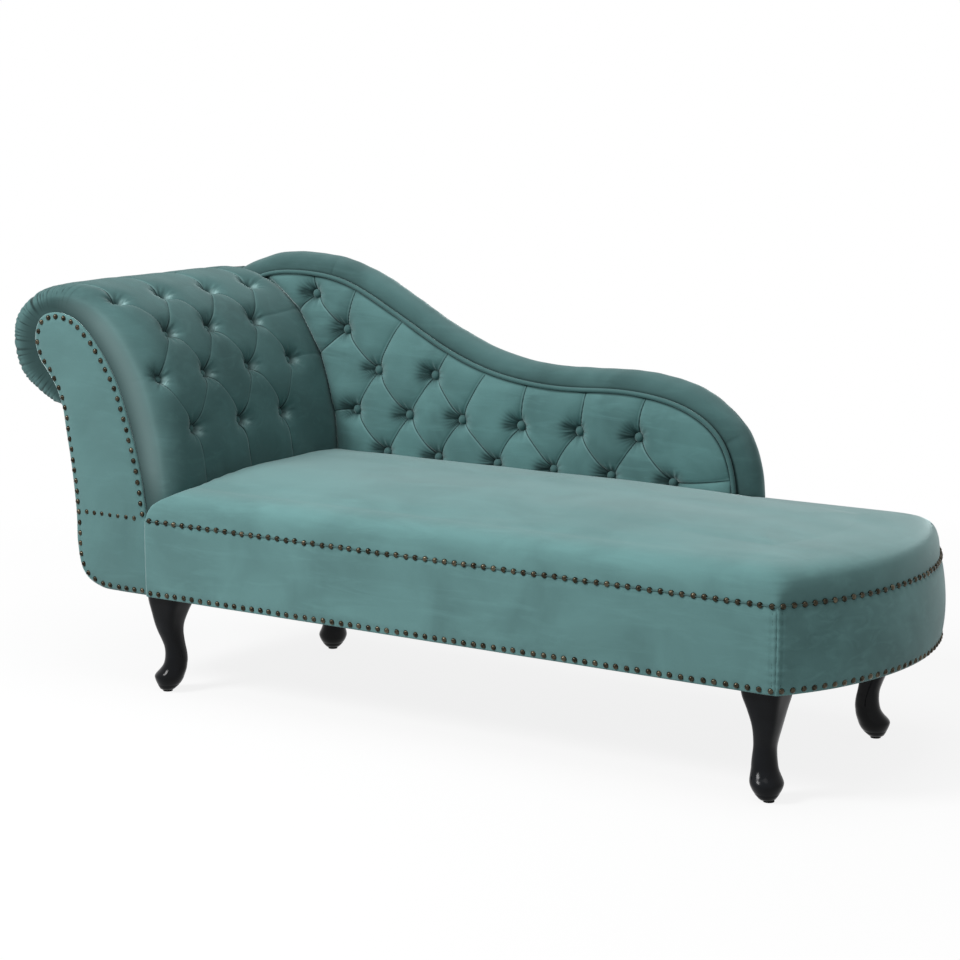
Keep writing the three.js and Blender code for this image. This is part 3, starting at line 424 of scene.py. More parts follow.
def foot_arc(inset, count):
    """The bowed foot end in plan, drawn in, from the front corner to the back."""
    radius = BOW_RADIUS - inset
    reach = math.asin((BACK_Y - inset) / radius)
    angle = np.linspace(-reach, reach, count)
    return np.stack([BOW_CENTRE_X + radius * np.cos(angle), radius * np.sin(angle)], axis=1)


def line_distance(points, line):
    """How far each flat point is from a line, on which side, and where along it (0 to 1)."""
    best = np.full(len(points), 1e9)
    side = np.zeros(len(points))
    where = np.zeros(len(points))
    run = lengths_along(line)
    for index in range(len(line) - 1):
        start, way = line[index], line[index + 1] - line[index]
        size = way @ way
        if size == 0:
            continue
        off = points - start
        share = np.clip(off @ way / size, 0, 1)
        gap = off - share[:, None] * way
        distance = np.hypot(gap[:, 0], gap[:, 1])
        nearer = distance < best
        best[nearer] = distance[nearer]
        side[nearer] = (way[0] * off[nearer, 1] - way[1] * off[nearer, 0])
        where[nearer] = (run[index] + share[nearer] * math.sqrt(size)) / run[-1]
    return best, np.sign(side), where


def inside_outline(points, outline):
    """Which flat points lie inside a closed outline."""
    inside = np.zeros(len(points), bool)
    following = np.roll(outline, -1, axis=0)
    for (x0, y0), (x1, y1) in zip(outline, following):
        if y0 == y1:
            continue
        crosses = (points[:, 1] > y0) != (points[:, 1] > y1)
        inside ^= crosses & (points[:, 0] < x0 + (points[:, 1] - y0) * (x1 - x0) / (y1 - y0))
    return inside


def ripple(points, wavelength, seed, count=8):
    """Smooth unevenness between about -1 and 1, the same in every run."""
    chance = np.random.default_rng(seed)
    total = np.zeros(points.shape[:-1])
    for _ in range(count):
        way = chance.normal(size=points.shape[-1])
        way /= np.linalg.norm(way)
        scale = 2 * math.pi / (wavelength * chance.uniform(0.7, 1.6))
        total += np.sin(points @ way * scale + chance.uniform(0, 2 * math.pi))
    return total / math.sqrt(count)


# Buttoning.

def pleat_paths(buttons, tails, limits):
    """Pleats from each button to its diagonal neighbours, and those that run to an edge."""
    least_across, most_across, most_along = limits
    paths = []
    places = np.array(buttons, float)
    for start in places:
        for end in places:
            gap = end - start
            if least_across < gap[1] < most_across and abs(gap[0]) < most_along:
                paths.append((start, end, 1.0, True))
    for index, end, strength in tails:
        paths.append((places[index], np.array(end, float), strength, False))
    return paths


def pleats_drawn(places, paths, fullness, seed):
    """What the pleats do at flat places: how full the pillow is, how deep the groove, and of
    the nearest pleat how far it is, how far to its side, and how firmly it is held."""
    pillow = np.ones(len(places))
    groove, beside, held = (np.zeros(len(places)) for _ in range(3))
    nearest = np.full(len(places), PLEAT_NEAR)
    middle = 0.33 + 0.45 * fullness
    share = np.linspace(0, 1, 9)[:, None]
    for number, (start, end, strength, between) in enumerate(paths):
        low = np.minimum(start, end) - PILLOW_REACH
        high = np.maximum(start, end) + PILLOW_REACH
        near = np.flatnonzero(np.all((places > low) & (places < high), axis=1))
        way = end - start
        across = np.array([-way[1], way[0]]) / np.linalg.norm(way)
        bend = PLEAT_BEND * math.sin(2.4 * number + seed)
        path = start + way * share + across * bend * np.sin(math.pi * share)
        distance, side, where = line_distance(places[near], path)
        # A pleat between two buttons is weakest halfway, and a tail fades towards its end.
        pull = middle + (1 - middle) * np.abs(2 * where - 1) ** 2 if between else 1 - 0.4 * where
        pull = strength * pull
        soft = np.sqrt(distance ** 2 + 1) - 0.6
        pillow[near] *= 1 - 0.9 * pull * np.clip(1 - soft / PILLOW_REACH, 0, 1) ** 2
        groove[near] = np.maximum(groove[near], pull * np.exp(-distance / GROOVE_WIDTH))
        closer = distance < nearest[near]
        nearest[near[closer]] = distance[closer]
        beside[near[closer]] = (distance * side)[closer]
        held[near[closer]] = pull[closer]
    return pillow, groove, nearest, beside, held


def drawn_in(places, buttons, paths, depths, fullness, shading_round_buttons, seed):
    """How far the buttoning draws the cover in at flat places, with the marks it leaves: painted shade in
    its pits and along its pleats, and painted light and shade round its buttons; depths are those of a pleat
    and of a button."""
    pillow, groove, nearest, beside, held = pleats_drawn(places, paths, fullness, seed)
    depth = depths[0] * (fullness * (1 - pillow) + GROOVE_SHARE * groove)
    nap = np.zeros(len(places))
    pit_shade = np.zeros(len(places))
    for number, button in enumerate(buttons):
        off = places - np.array(button, float)
        radius = np.hypot(off[:, 0], off[:, 1])
        near = radius < BUTTON_REACH
        off, radius = off[near], radius[near]
        angle = np.arctan2(off[:, 1], off[:, 0])
        turn = 1.7 * number + seed
        pucker = np.sin(9 * angle + turn) + 0.8 * np.sin(14 * angle + 2 * turn)
        streaks = 0.56 + 0.44 * np.sin(11 * angle + turn) * np.sin(17 * angle + 3 * turn)
        hole = np.exp(-np.maximum(radius - HOLE_RADIUS, 0) / HOLE_SLOPE)
        depth[near] += depths[1] * (0.5 * bell(radius, DIP_WIDTH) + 0.5 * hole)
        depth[near] += PUCKER_DEPTH * pucker * bell(radius - PUCKER_RADIUS, PUCKER_WIDTH)
        # Painted shade in the pit round the button.
        pit_shade[near] = np.maximum(pit_shade[near], 0.85 * np.exp(-(radius / PIT_SHADE_WIDTH) ** 4))
        # Painted highlight and painted shade beside the button.
        for way, reach, width, amount in shading_round_buttons:
            across, up = np.array(way) / math.hypot(*way)
            gap = np.hypot(off @ np.array([across, up]) - reach, off @ np.array([-up, across]))
            nap[near] += amount * bell(gap, width) * streaks
    marks = {
        "pleat_near": np.clip(1 - nearest / 5, 0, 1) * held,
        "pleat_side": np.clip(beside, -5, 5) / 5,
        "crease": pit_shade,
        "nap": np.clip(nap, -1, 1),
    }
    return depth, marks


# Meshes.

def new_piece(name, vertices, faces, finish, smooth=True, **fields):
    """A mesh object in metres, its faces turned outwards and its point fields stored."""
    mesh = bpy.data.meshes.new(name)
    mesh.from_pydata((np.asarray(vertices, float) * MM).tolist(), [], faces)
    mesh.update()
    for field, values in fields.items():
        layer = mesh.attributes.new(field, "FLOAT", "POINT")
        layer.data.foreach_set("value", np.asarray(values, np.float32))
    shape = bmesh.new()
    shape.from_mesh(mesh)
    bmesh.ops.recalc_face_normals(shape, faces=shape.faces)
    shape.to_mesh(mesh)
    shape.free()
    mesh.materials.append(finish)
    if smooth:
        mesh.polygons.foreach_set("use_smooth", np.ones(len(mesh.polygons), bool))
    piece = bpy.data.objects.new(name, mesh)
    bpy.context.scene.collection.objects.link(piece)
    return piece


def ring_quads(index):
    """Quads between neighbouring rings of point numbers."""
    beside = np.roll(index, -1, axis=1)
    return np.stack([index[:-1], beside[:-1], beside[1:], index[1:]], axis=-1).reshape(-1, 4).tolist()


def skin(rings):
    """Points and faces of a closed skin over rings that have the same number of points."""
    index = np.arange(rings.shape[0] * rings.shape[1]).reshape(rings.shape[:2])
    faces = ring_quads(index)
    faces.append(index[0, ::-1].tolist())
    faces.append(index[-1].tolist())
    return rings.reshape(-1, 3), faces


def surface_normals(grid):
    """Unit normals of a grid of points."""
    down = np.gradient(grid, axis=0)
    across = np.gradient(grid, axis=1)
    normals = np.cross(down, across)
    return normals / np.maximum(np.linalg.norm(normals, axis=2), 1e-9)[..., None]


def filled(outline, step):
    """Triangles that fill a flat outline, with even points inside it."""
    low, high = outline.min(axis=0), outline.max(axis=0)
    across, up = np.meshgrid(np.arange(low[0] + step / 2, high[0], step),
                             np.arange(low[1] + step / 2, high[1], step))
    points = np.stack([across.ravel(), up.ravel()], axis=1)
    points = points[inside_outline(points, outline)]
    closed = np.vstack([outline, outline[:1]])
    points = points[line_distance(points, closed)[0] > step * 0.55]
    every = np.vstack([outline, points]).tolist()
    result = geometry.delaunay_2d_cdt(every, [], [list(range(len(outline)))], 1, 1e-5)
    return np.array([tuple(point) for point in result[0]]), [list(face) for face in result[2]]


def panel(outline, step, front, rear):
    """A closed sheet that fills an outline: front and rear give its faces from flat points."""
    flat, faces = filled(outline, step)
    count = len(flat)
    edge_gap = line_distance(flat, np.vstack([outline, outline[:1]]))[0]
    vertices = np.vstack([front(flat, edge_gap), rear(flat)])
    every = faces + [[index + count for index in reversed(face)] for face in faces]
    sides = dict.fromkeys(side for face in faces for side in zip(face, face[1:] + face[:1]))
    every += [[end, start, start + count, end + count] for start, end in sides
              if (end, start) not in sides]
    return vertices, every


def finish_piece(piece, slot, *nodes, fill=None):
    """Hides the frame's parts that a piece stands for, and hangs the piece on the root."""
    if nodes:
        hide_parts(*nodes)
    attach(piece, "root")


# Trees that repeat or follow.

def node_with(nodes, kind, **inputs):
    """A new node with some of its inputs set; an underscore stands for a space."""
    node = nodes.new(kind)
    for label, value in inputs.items():
        node.inputs[label.replace("_", " ")].default_value = value
    return node


def new_tree(name, sockets):
    """A tree that is still empty, with a geometry, its named inputs and a finish coming in."""
    tree = bpy.data.node_groups.new(name, "GeometryNodeTree")
    add = tree.interface.new_socket
    add("Geometry", in_out="INPUT", socket_type="NodeSocketGeometry")
    for label, kind, default in sockets:
        add(label, in_out="INPUT", socket_type=kind).default_value = default
    add("Finish", in_out="INPUT", socket_type="NodeSocketMaterial")
    add("Geometry", in_out="OUTPUT", socket_type="NodeSocketGeometry")
    return tree, tree.nodes.new("NodeGroupInput")


def end_tree(tree, given, shape):
    """Ends a tree: its instances made real, smoothed and coated with the finish."""
    nodes, link = tree.nodes, tree.links.new
    for kind in ("GeometryNodeRealizeInstances", "GeometryNodeSetShadeSmooth", "GeometryNodeSetMaterial"):
        node = nodes.new(kind)
        link(shape, node.inputs["Geometry"])
        shape = node.outputs["Geometry"]
    link(given.outputs["Finish"], node.inputs["Material"])
    link(shape, nodes.new("NodeGroupOutput").inputs["Geometry"])


def scatter_tree(name, segments, rings):
    """A tree that sets a domed head on each point, turned by the point's own vectors."""
    sizes = [(label, "NodeSocketFloat", 0.01) for label in ("Length", "Width", "Height")]
    tree, given = new_tree(name, sizes)
    nodes, link = tree.nodes, tree.links.new
    head = node_with(nodes, "GeometryNodeMeshUVSphere", Segments=segments, Rings=rings, Radius=0.5)
    scale = nodes.new("ShaderNodeCombineXYZ")
    # The head is the upper half of a ball, so the ball is twice as high.
    double = nodes.new("ShaderNodeMath")
    double.operation = "MULTIPLY"
    double.inputs[1].default_value = 2.0
    shaped = nodes.new("GeometryNodeTransform")
    link(given.outputs["Length"], scale.inputs["X"])
    link(given.outputs["Width"], scale.inputs["Y"])
    link(given.outputs["Height"], double.inputs[0])
    link(double.outputs[0], scale.inputs["Z"])
    link(head.outputs["Mesh"], shaped.inputs["Geometry"])
    link(scale.outputs[0], shaped.inputs["Scale"])
    turned = None
    for field, axis, pivot in (("aim", "Z", "AUTO"), ("along", "X", "Z")):
        vector = nodes.new("GeometryNodeInputNamedAttribute")
        vector.data_type = "FLOAT_VECTOR"
        vector.inputs["Name"].default_value = field
        align = nodes.new("FunctionNodeAlignRotationToVector")
        align.axis = axis
        align.pivot_axis = pivot
        link(vector.outputs["Attribute"], align.inputs["Vector"])
        if turned is not None:
            link(turned.outputs[0], align.inputs["Rotation"])
        turned = align
    heads = nodes.new("GeometryNodeInstanceOnPoints")
    link(given.outputs["Geometry"], heads.inputs["Points"])
    link(shaped.outputs["Geometry"], heads.inputs["Instance"])
    link(turned.outputs[0], heads.inputs["Rotation"])
    end_tree(tree, given, heads.outputs["Instances"])
    return tree


def piping_tree(name):
    """A tree that turns a line of edges into a round cord with closed ends."""
    tree, given = new_tree(name, [("Radius", "NodeSocketFloat", 0.005), ("Sides", "NodeSocketInt", 12)])
    nodes, link = tree.nodes, tree.links.new
    path = nodes.new("GeometryNodeMeshToCurve")
    circle = nodes.new("GeometryNodeCurvePrimitiveCircle")
    cord = nodes.new("GeometryNodeCurveToMesh")
    cord.inputs["Fill Caps"].default_value = True
    link(given.outputs["Geometry"], path.inputs["Mesh"])
    link(given.outputs["Radius"], circle.inputs["Radius"])
    link(given.outputs["Sides"], circle.inputs["Resolution"])
    link(path.outputs["Curve"], cord.inputs["Curve"])
    link(circle.outputs["Curve"], cord.inputs["Profile Curve"])
    end_tree(tree, given, cord.outputs["Mesh"])
    return tree


def grown(name, mesh, tree, values):
    """A plain mesh object from a tree run on a mesh, with its inputs set by identifier."""
    piece = bpy.data.objects.new(name, mesh)
    bpy.context.scene.collection.objects.link(piece)
    modifier = piece.modifiers.new(name, "NODES")
    modifier.node_group = tree
    for item in tree.interface.items_tree:
        if item.item_type == "SOCKET" and item.in_out == "INPUT" and item.name in values:
            modifier[item.identifier] = values[item.name]
    depsgraph = bpy.context.evaluated_depsgraph_get()
    plain = bpy.data.meshes.new_from_object(piece.evaluated_get(depsgraph))
    piece.modifiers.clear()
    piece.data = plain
    if len(plain.vertices) == 0:
        raise RuntimeError(name + " came out empty")
    return piece


def scattered(name, places, aims, alongs, tree, size, finish):
    """Heads at places in millimetres, each turned to its own way out and its own run."""
    mesh = bpy.data.meshes.new(name)
    mesh.from_pydata((np.asarray(places, float) * MM).tolist(), [], [])
    for field, values in (("aim", aims), ("along", alongs)):
        layer = mesh.attributes.new(field, "FLOAT_VECTOR", "POINT")
        layer.data.foreach_set("vector", np.asarray(values, np.float32).ravel())
    values = {"Length": size[0], "Width": size[1], "Height": size[2], "Finish": finish}
    return grown(name, mesh, tree, values)


def piped(name, line, radius, tree, finish, sides=12):
    """A round cord along a line in millimetres."""
    mesh = bpy.data.meshes.new(name)
    edges = [(index, index + 1) for index in range(len(line) - 1)]
    mesh.from_pydata((np.asarray(line, float) * MM).tolist(), edges, [])
    return grown(name, mesh, tree, {"Radius": radius, "Sides": sides, "Finish": finish})


# Finishes.

class Finish:
    """One material: its Principled shader, and helpers that build the nodes before it."""

    def __init__(self, name, **sockets):
        self.material = bpy.data.materials.new("couch_" + name)
        self.material.use_nodes = True
        self.nodes = self.material.node_tree.nodes
        self.link = self.material.node_tree.links.new
        self.shader = self.nodes["Principled BSDF"]
        self.place = self.nodes.new("ShaderNodeTexCoord").outputs["Object"]
        for socket, value in sockets.items():
            self.shader.inputs[socket.replace("_", " ")].default_value = value

    def stretched(self, scale, turn=(0, 0, 0)):
        """Object coordinates, turned and stretched."""
        node = node_with(self.nodes, "ShaderNodeMapping", Scale=scale, Rotation=turn)
        self.link(self.place, node.inputs["Vector"])
        return node.outputs[0]

    def noise(self, scale, detail=2.0, rough=0.5, vector=None, distortion=0.0):
        """Cloudy values between 0 and 1."""
        node = node_with(self.nodes, "ShaderNodeTexNoise", Scale=scale, Detail=detail, Roughness=rough,
                         Distortion=distortion)
        self.link(vector if vector is not None else self.place, node.inputs["Vector"])
        return node.outputs[0]

    def ranged(self, value, low, high, to_low=0.0, to_high=1.0):
        """A value taken from one range to another, and held at its ends."""
        node = node_with(self.nodes, "ShaderNodeMapRange", From_Min=low, From_Max=high,
                         To_Min=to_low, To_Max=to_high)
        self.link(value, node.inputs["Value"])
        return node.outputs[0]

    def mixed(self, share, first, second, blend="MIX"):
        """Two colours mixed; each is a colour or the output of a node."""
        node = self.nodes.new("ShaderNodeMix")
        node.data_type = "RGBA"
        node.blend_type = blend
        if isinstance(share, (int, float)):
            node.inputs[0].default_value = share
        else:
            self.link(share, node.inputs[0])
        for socket, colour in ((node.inputs[6], first), (node.inputs[7], second)):
            if isinstance(colour, (tuple, list)):
                socket.default_value = (*colour[:3], 1.0)
            else:
                self.link(colour, socket)
        return node.outputs[2]

    def worked(self, operation, *values):
        """Values put through one operation of arithmetic."""
        node = self.nodes.new("ShaderNodeMath")
        node.operation = operation
        for socket, value in zip(node.inputs, values):
            self.link(value, socket)
        return node.outputs[0]

    def field(self, name):
        """A value that is stored on the points of the mesh."""
        node = self.nodes.new("ShaderNodeAttribute")
        node.attribute_name = name
        return node.outputs["Fac"]

    def colour(self, value):
        """Links a value to the shader's colour."""
        self.link(value, self.shader.inputs["Base Color"])

    def roughness(self, value):
        """Links a value to the shader's roughness."""
        self.link(value, self.shader.inputs["Roughness"])

    def bump(self, *layers):
        """Bumps stacked on each other: height, depth in metres and strength of each."""
        normal = None
        for height, depth, strength in layers:
            node = node_with(self.nodes, "ShaderNodeBump", Distance=depth, Strength=strength)
            self.link(height, node.inputs["Height"])
            if normal is not None:
                self.link(normal, node.inputs["Normal"])
            normal = node.outputs[0]
        self.link(normal, self.shader.inputs["Normal"])


def shade(colour, share):
    """The colour made lighter or darker."""
    return tuple(min(value * share, 1.0) for value in colour)


def velvet_finish(name, colour, marks, sheen):
    """Short-pile velvet: brushed patches, fine pile, a pale sheen, painted shade in its creases, pits and
    pleat lines, and painted highlights beside them.
    """
    finish = Finish(name, Roughness=0.9, Sheen_Weight=sheen, Sheen_Roughness=0.4,
                    Sheen_Tint=(0.82, 1.0, 1.0, 1.0), Specular_IOR_Level=0.06)
    patches = finish.noise(6.5, 3.0, 0.55, distortion=0.7)
    strokes = finish.noise(24.0, 4.0, 0.6, finish.stretched((0.3, 1.0, 1.9), (0.3, 0.2, 0.4)), 0.9)
    pile_and_shade = finish.noise(1400.0, 2.0, 0.6)
    tone = finish.mixed(finish.ranged(patches, 0.34, 0.66), shade(colour, 1 - 0.17 * marks),
                        shade(colour, 1 + 0.17 * marks))
    tone = finish.mixed(finish.ranged(strokes, 0.5, 0.74, 0.0, 0.4 * marks), tone, shade(colour, 1.45))
    tone = finish.mixed(finish.ranged(pile_and_shade, 0.3, 0.7, 0.0, 0.3), tone, shade(colour, 0.62))
    # Painted highlights where this field is above 0, painted shade where it is below 0.
    nap = finish.field("nap")
    side, near = finish.field("pleat_side"), finish.field("pleat_near")
    # A painted highlight along one side of each pleat, and the pale colour that painted highlights are mixed
    # towards.
    edge = finish.worked("MULTIPLY", finish.ranged(side, 0.18, 0.42), finish.ranged(near, 0.12, 0.5))
    light = finish.worked("MAXIMUM", nap, finish.ranged(edge, 0.0, 1.0, 0.0, 0.3))
    painted_highlight = tuple(0.14 + 2.1 * value for value in colour)
    tone = finish.mixed(finish.ranged(light, 0.0, 1.0, 0.0, 0.9), tone, painted_highlight)
    # Painted shade where the field is below 0.
    tone = finish.mixed(finish.ranged(nap, 0.0, -1.0, 0.0, 0.85), tone, shade(colour, 0.2))
    # Painted shade: thin dark lines along the pleats, and darkening in the creases, pits and seams.
    line = finish.ranged(finish.worked("ABSOLUTE", side), 0.06, 0.32, 1.0, 0.0)
    line = finish.worked("MULTIPLY", line, finish.ranged(near, 0.25, 0.6))
    dark = finish.worked("MAXIMUM", line, finish.field("crease"))
    tone = finish.mixed(finish.ranged(dark, 0.0, 1.0, 0.0, 0.88), tone, shade(colour, 0.11))
    finish.colour(tone)
    finish.bump((finish.noise(55.0, 3.0, 0.6), 0.0012, 0.16), (pile_and_shade, 0.0004, 0.3),
                (finish.ranged(line, 0.0, 1.0, 1.0, 0.0), 0.0014, 0.5))
    return finish.material


def brass_finish(colour):
    """Antique brass: dark patina with the tops rubbed bright."""
    finish = Finish("antique_brass", Metallic=1.0, Roughness=0.25)
    patina = finish.noise(260.0, 3.0, 0.6)
    broad = finish.noise(45.0, 2.0, 0.5)
    tone = finish.mixed(finish.ranged(patina, 0.4, 0.62), shade(colour, 0.06), shade(colour, 0.22))
    tone = finish.mixed(finish.ranged(broad, 0.5, 0.75, 0.0, 0.4), tone, colour)
    finish.colour(tone)
    finish.roughness(finish.ranged(patina, 0.3, 0.7, 0.26, 0.12))
    finish.bump((patina, 0.0002, 0.25))
    return finish.material


def lacquer_finish(colour):
    """Black lacquer with faint brush lines, dust nibs and rubbed patches."""
    finish = Finish("black_lacquer", Roughness=0.1, Specular_IOR_Level=0.12)
    rubbed = finish.noise(28.0, 3.0, 0.55)
    lines = finish.noise(90.0, 3.0, 0.6, finish.stretched((1.0, 1.0, 0.08)))
    finish.colour(finish.mixed(finish.ranged(rubbed, 0.45, 0.75), colour, shade(colour, 1.8)))
    finish.roughness(finish.ranged(rubbed, 0.35, 0.7, 0.08, 0.2))
    finish.bump((lines, 0.0003, 0.12))
    return finish.material


def wood_finish(name, colour, stretch, contrast, ply):
    """Raw timber: stretched grain, and for plywood the dark lines of its plies."""
    finish = Finish(name, Roughness=0.72, Specular_IOR_Level=0.25)
    grain = finish.noise(38.0, 5.0, 0.65, finish.stretched(stretch), 1.2)
    fine = finish.noise(210.0, 3.0, 0.6, finish.stretched(stretch))
    tone = finish.mixed(finish.ranged(grain, 0.35, 0.68), shade(colour, 1 - contrast), shade(colour, 1.12))
    tone = finish.mixed(finish.ranged(fine, 0.5, 0.75, 0.0, 0.5), tone, shade(colour, 0.62))
    if ply:
        wave = node_with(finish.nodes, "ShaderNodeTexWave", Scale=95.0, Distortion=0.4)
        wave.bands_direction = "Y"
        finish.link(finish.place, wave.inputs["Vector"])
        plies = finish.ranged(wave.outputs["Fac"], 0.55, 0.9, 0.0, 0.45)
        tone = finish.mixed(plies, tone, shade(colour, 0.5))
    finish.colour(tone)
    finish.roughness(finish.ranged(grain, 0.3, 0.7, 0.62, 0.82))
    finish.bump((fine, 0.0006, 0.3))
    return finish.material


def cloth_finish(name, colour, scale, roughness, depth):
    """Plain woven or matted cloth: two crossed sets of threads over soft patches."""
    finish = Finish(name, Roughness=roughness, Specular_IOR_Level=0.1)
    warp = finish.noise(scale, 2.0, 0.6, finish.stretched((1.0, 0.12, 1.0)))
    weft = finish.noise(scale, 2.0, 0.6, finish.stretched((0.12, 1.0, 1.0)))
    patches = finish.noise(14.0, 3.0, 0.5)
    tone = finish.mixed(finish.ranged(warp, 0.35, 0.65), shade(colour, 0.72), shade(colour, 1.15))
    tone = finish.mixed(finish.ranged(weft, 0.35, 0.65, 0.0, 0.5), tone, shade(colour, 0.8))
    tone = finish.mixed(finish.ranged(patches, 0.4, 0.7, 0.0, 0.35), tone, shade(colour, 1.2))
    finish.colour(tone)
    finish.bump((warp, depth, 0.4), (weft, depth, 0.4))
    return finish.material


def foam_finish(colour):
    """Open-cell foam: a pitted surface, a little yellower where it has aged."""
    finish = Finish("seat_foam", Roughness=0.95, Specular_IOR_Level=0.05)
    cells = node_with(finish.nodes, "ShaderNodeTexVoronoi", Scale=420.0)
    finish.link(finish.place, cells.inputs["Vector"])
    pits = cells.outputs["Distance"]
    aged = finish.noise(11.0, 3.0, 0.5)
    tone = finish.mixed(finish.ranged(pits, 0.1, 0.6), shade(colour, 0.7), colour)
    finish.colour(finish.mixed(finish.ranged(aged, 0.4, 0.7, 0.0, 0.4), tone, (0.7, 0.56, 0.24)))
    finish.bump((pits, 0.0008, 0.5))
    return finish.material


def steel_finish(colour):
    """Zinc-plated steel with a faint mottle and light scratches."""
    finish = Finish("plated_steel", Metallic=1.0, Roughness=0.38)
    mottle = finish.noise(70.0, 3.0, 0.6)
    scratches = finish.noise(400.0, 2.0, 0.5, finish.stretched((1.0, 0.1, 0.6)))
    finish.colour(finish.mixed(finish.ranged(mottle, 0.35, 0.7), shade(colour, 0.72), colour))
    finish.roughness(finish.ranged(mottle, 0.3, 0.7, 0.3, 0.5))
    finish.bump((scratches, 0.0002, 0.2))
    return finish.material


# One velvet on every part, its tone made lighter or darker on each to paint in the light and shade
# there (painted light and shade): how light it is there, how brushed, and how strong its sheen.
VELVETS = {
    "velvet_seat": (1.1, 0.7, 1.0), "velvet_band": (1.03, 0.8, 1.0), "velvet_facing": (0.92, 0.6, 0.9),
    "velvet_arm": (0.6, 1.0, 0.35), "velvet_back": (0.84, 1.3, 0.6), "velvet_border": (0.55, 1.1, 0.6),
    "velvet_foot": (1.15, 1.15, 0.9), "velvet_trim": (0.62, 0.4, 0.4), "velvet_outside": (0.8, 1.0, 0.7),
}
# Timbers and boards: colour, how the grain is stretched, its contrast, and whether plies show.
WOODS = {
    "pine_long": ("pine", (0.06, 1.0, 1.0), 0.45, False),
    "pine_deep": ("pine", (1.0, 0.06, 1.0), 0.45, False),
    "pine_tall": ("pine", (1.0, 1.0, 0.06), 0.45, False),
    "plywood": ("plywood", (0.1, 1.0, 1.0), 0.3, True),
    "hardboard": ("hardboard", (0.8, 0.9, 1.0), 0.25, False),
}
# Cloths: colour, how fine the threads are, roughness, and depth of the weave in metres.
CLOTHS = {
    "deck_cloth": ("deck_cloth", 620.0, 0.92, 0.0004),
    "dust_cloth": ("dust_cloth", 380.0, 0.96, 0.0006),
    "glide_felt": ("felt", 900.0, 0.97, 0.0008),
}
# The rest: colour, and what makes the finish.
OTHERS = {
    "antique_brass": ("brass", brass_finish), "black_lacquer": ("lacquer", lacquer_finish),
    "seat_foam": ("foam", foam_finish), "plated_steel": ("steel", steel_finish),
}


def finish_named(name):
    """A finish by its name, made the first time that it is asked for."""
    found = bpy.data.materials.get("couch_" + name)
    if found is not None:
        return found
    colours = bpy.context.scene.couch_colours
    if name in VELVETS:
        # The part's tone is painted light and shade: one velvet made lighter where it is lit and darker
        # where it is shaded.
        tone, marks, sheen = VELVETS[name]
        return velvet_finish(name, shade(tuple(colours.velvet), tone), marks, sheen)
    if name in OTHERS:
        colour, maker = OTHERS[name]
        return maker(tuple(getattr(colours, colour)))
    maker, table = (wood_finish, WOODS) if name in WOODS else (cloth_finish, CLOTHS)
    colour, *rest = table[name]
    return maker(name, tuple(getattr(colours, colour)), *rest)


# Operators.

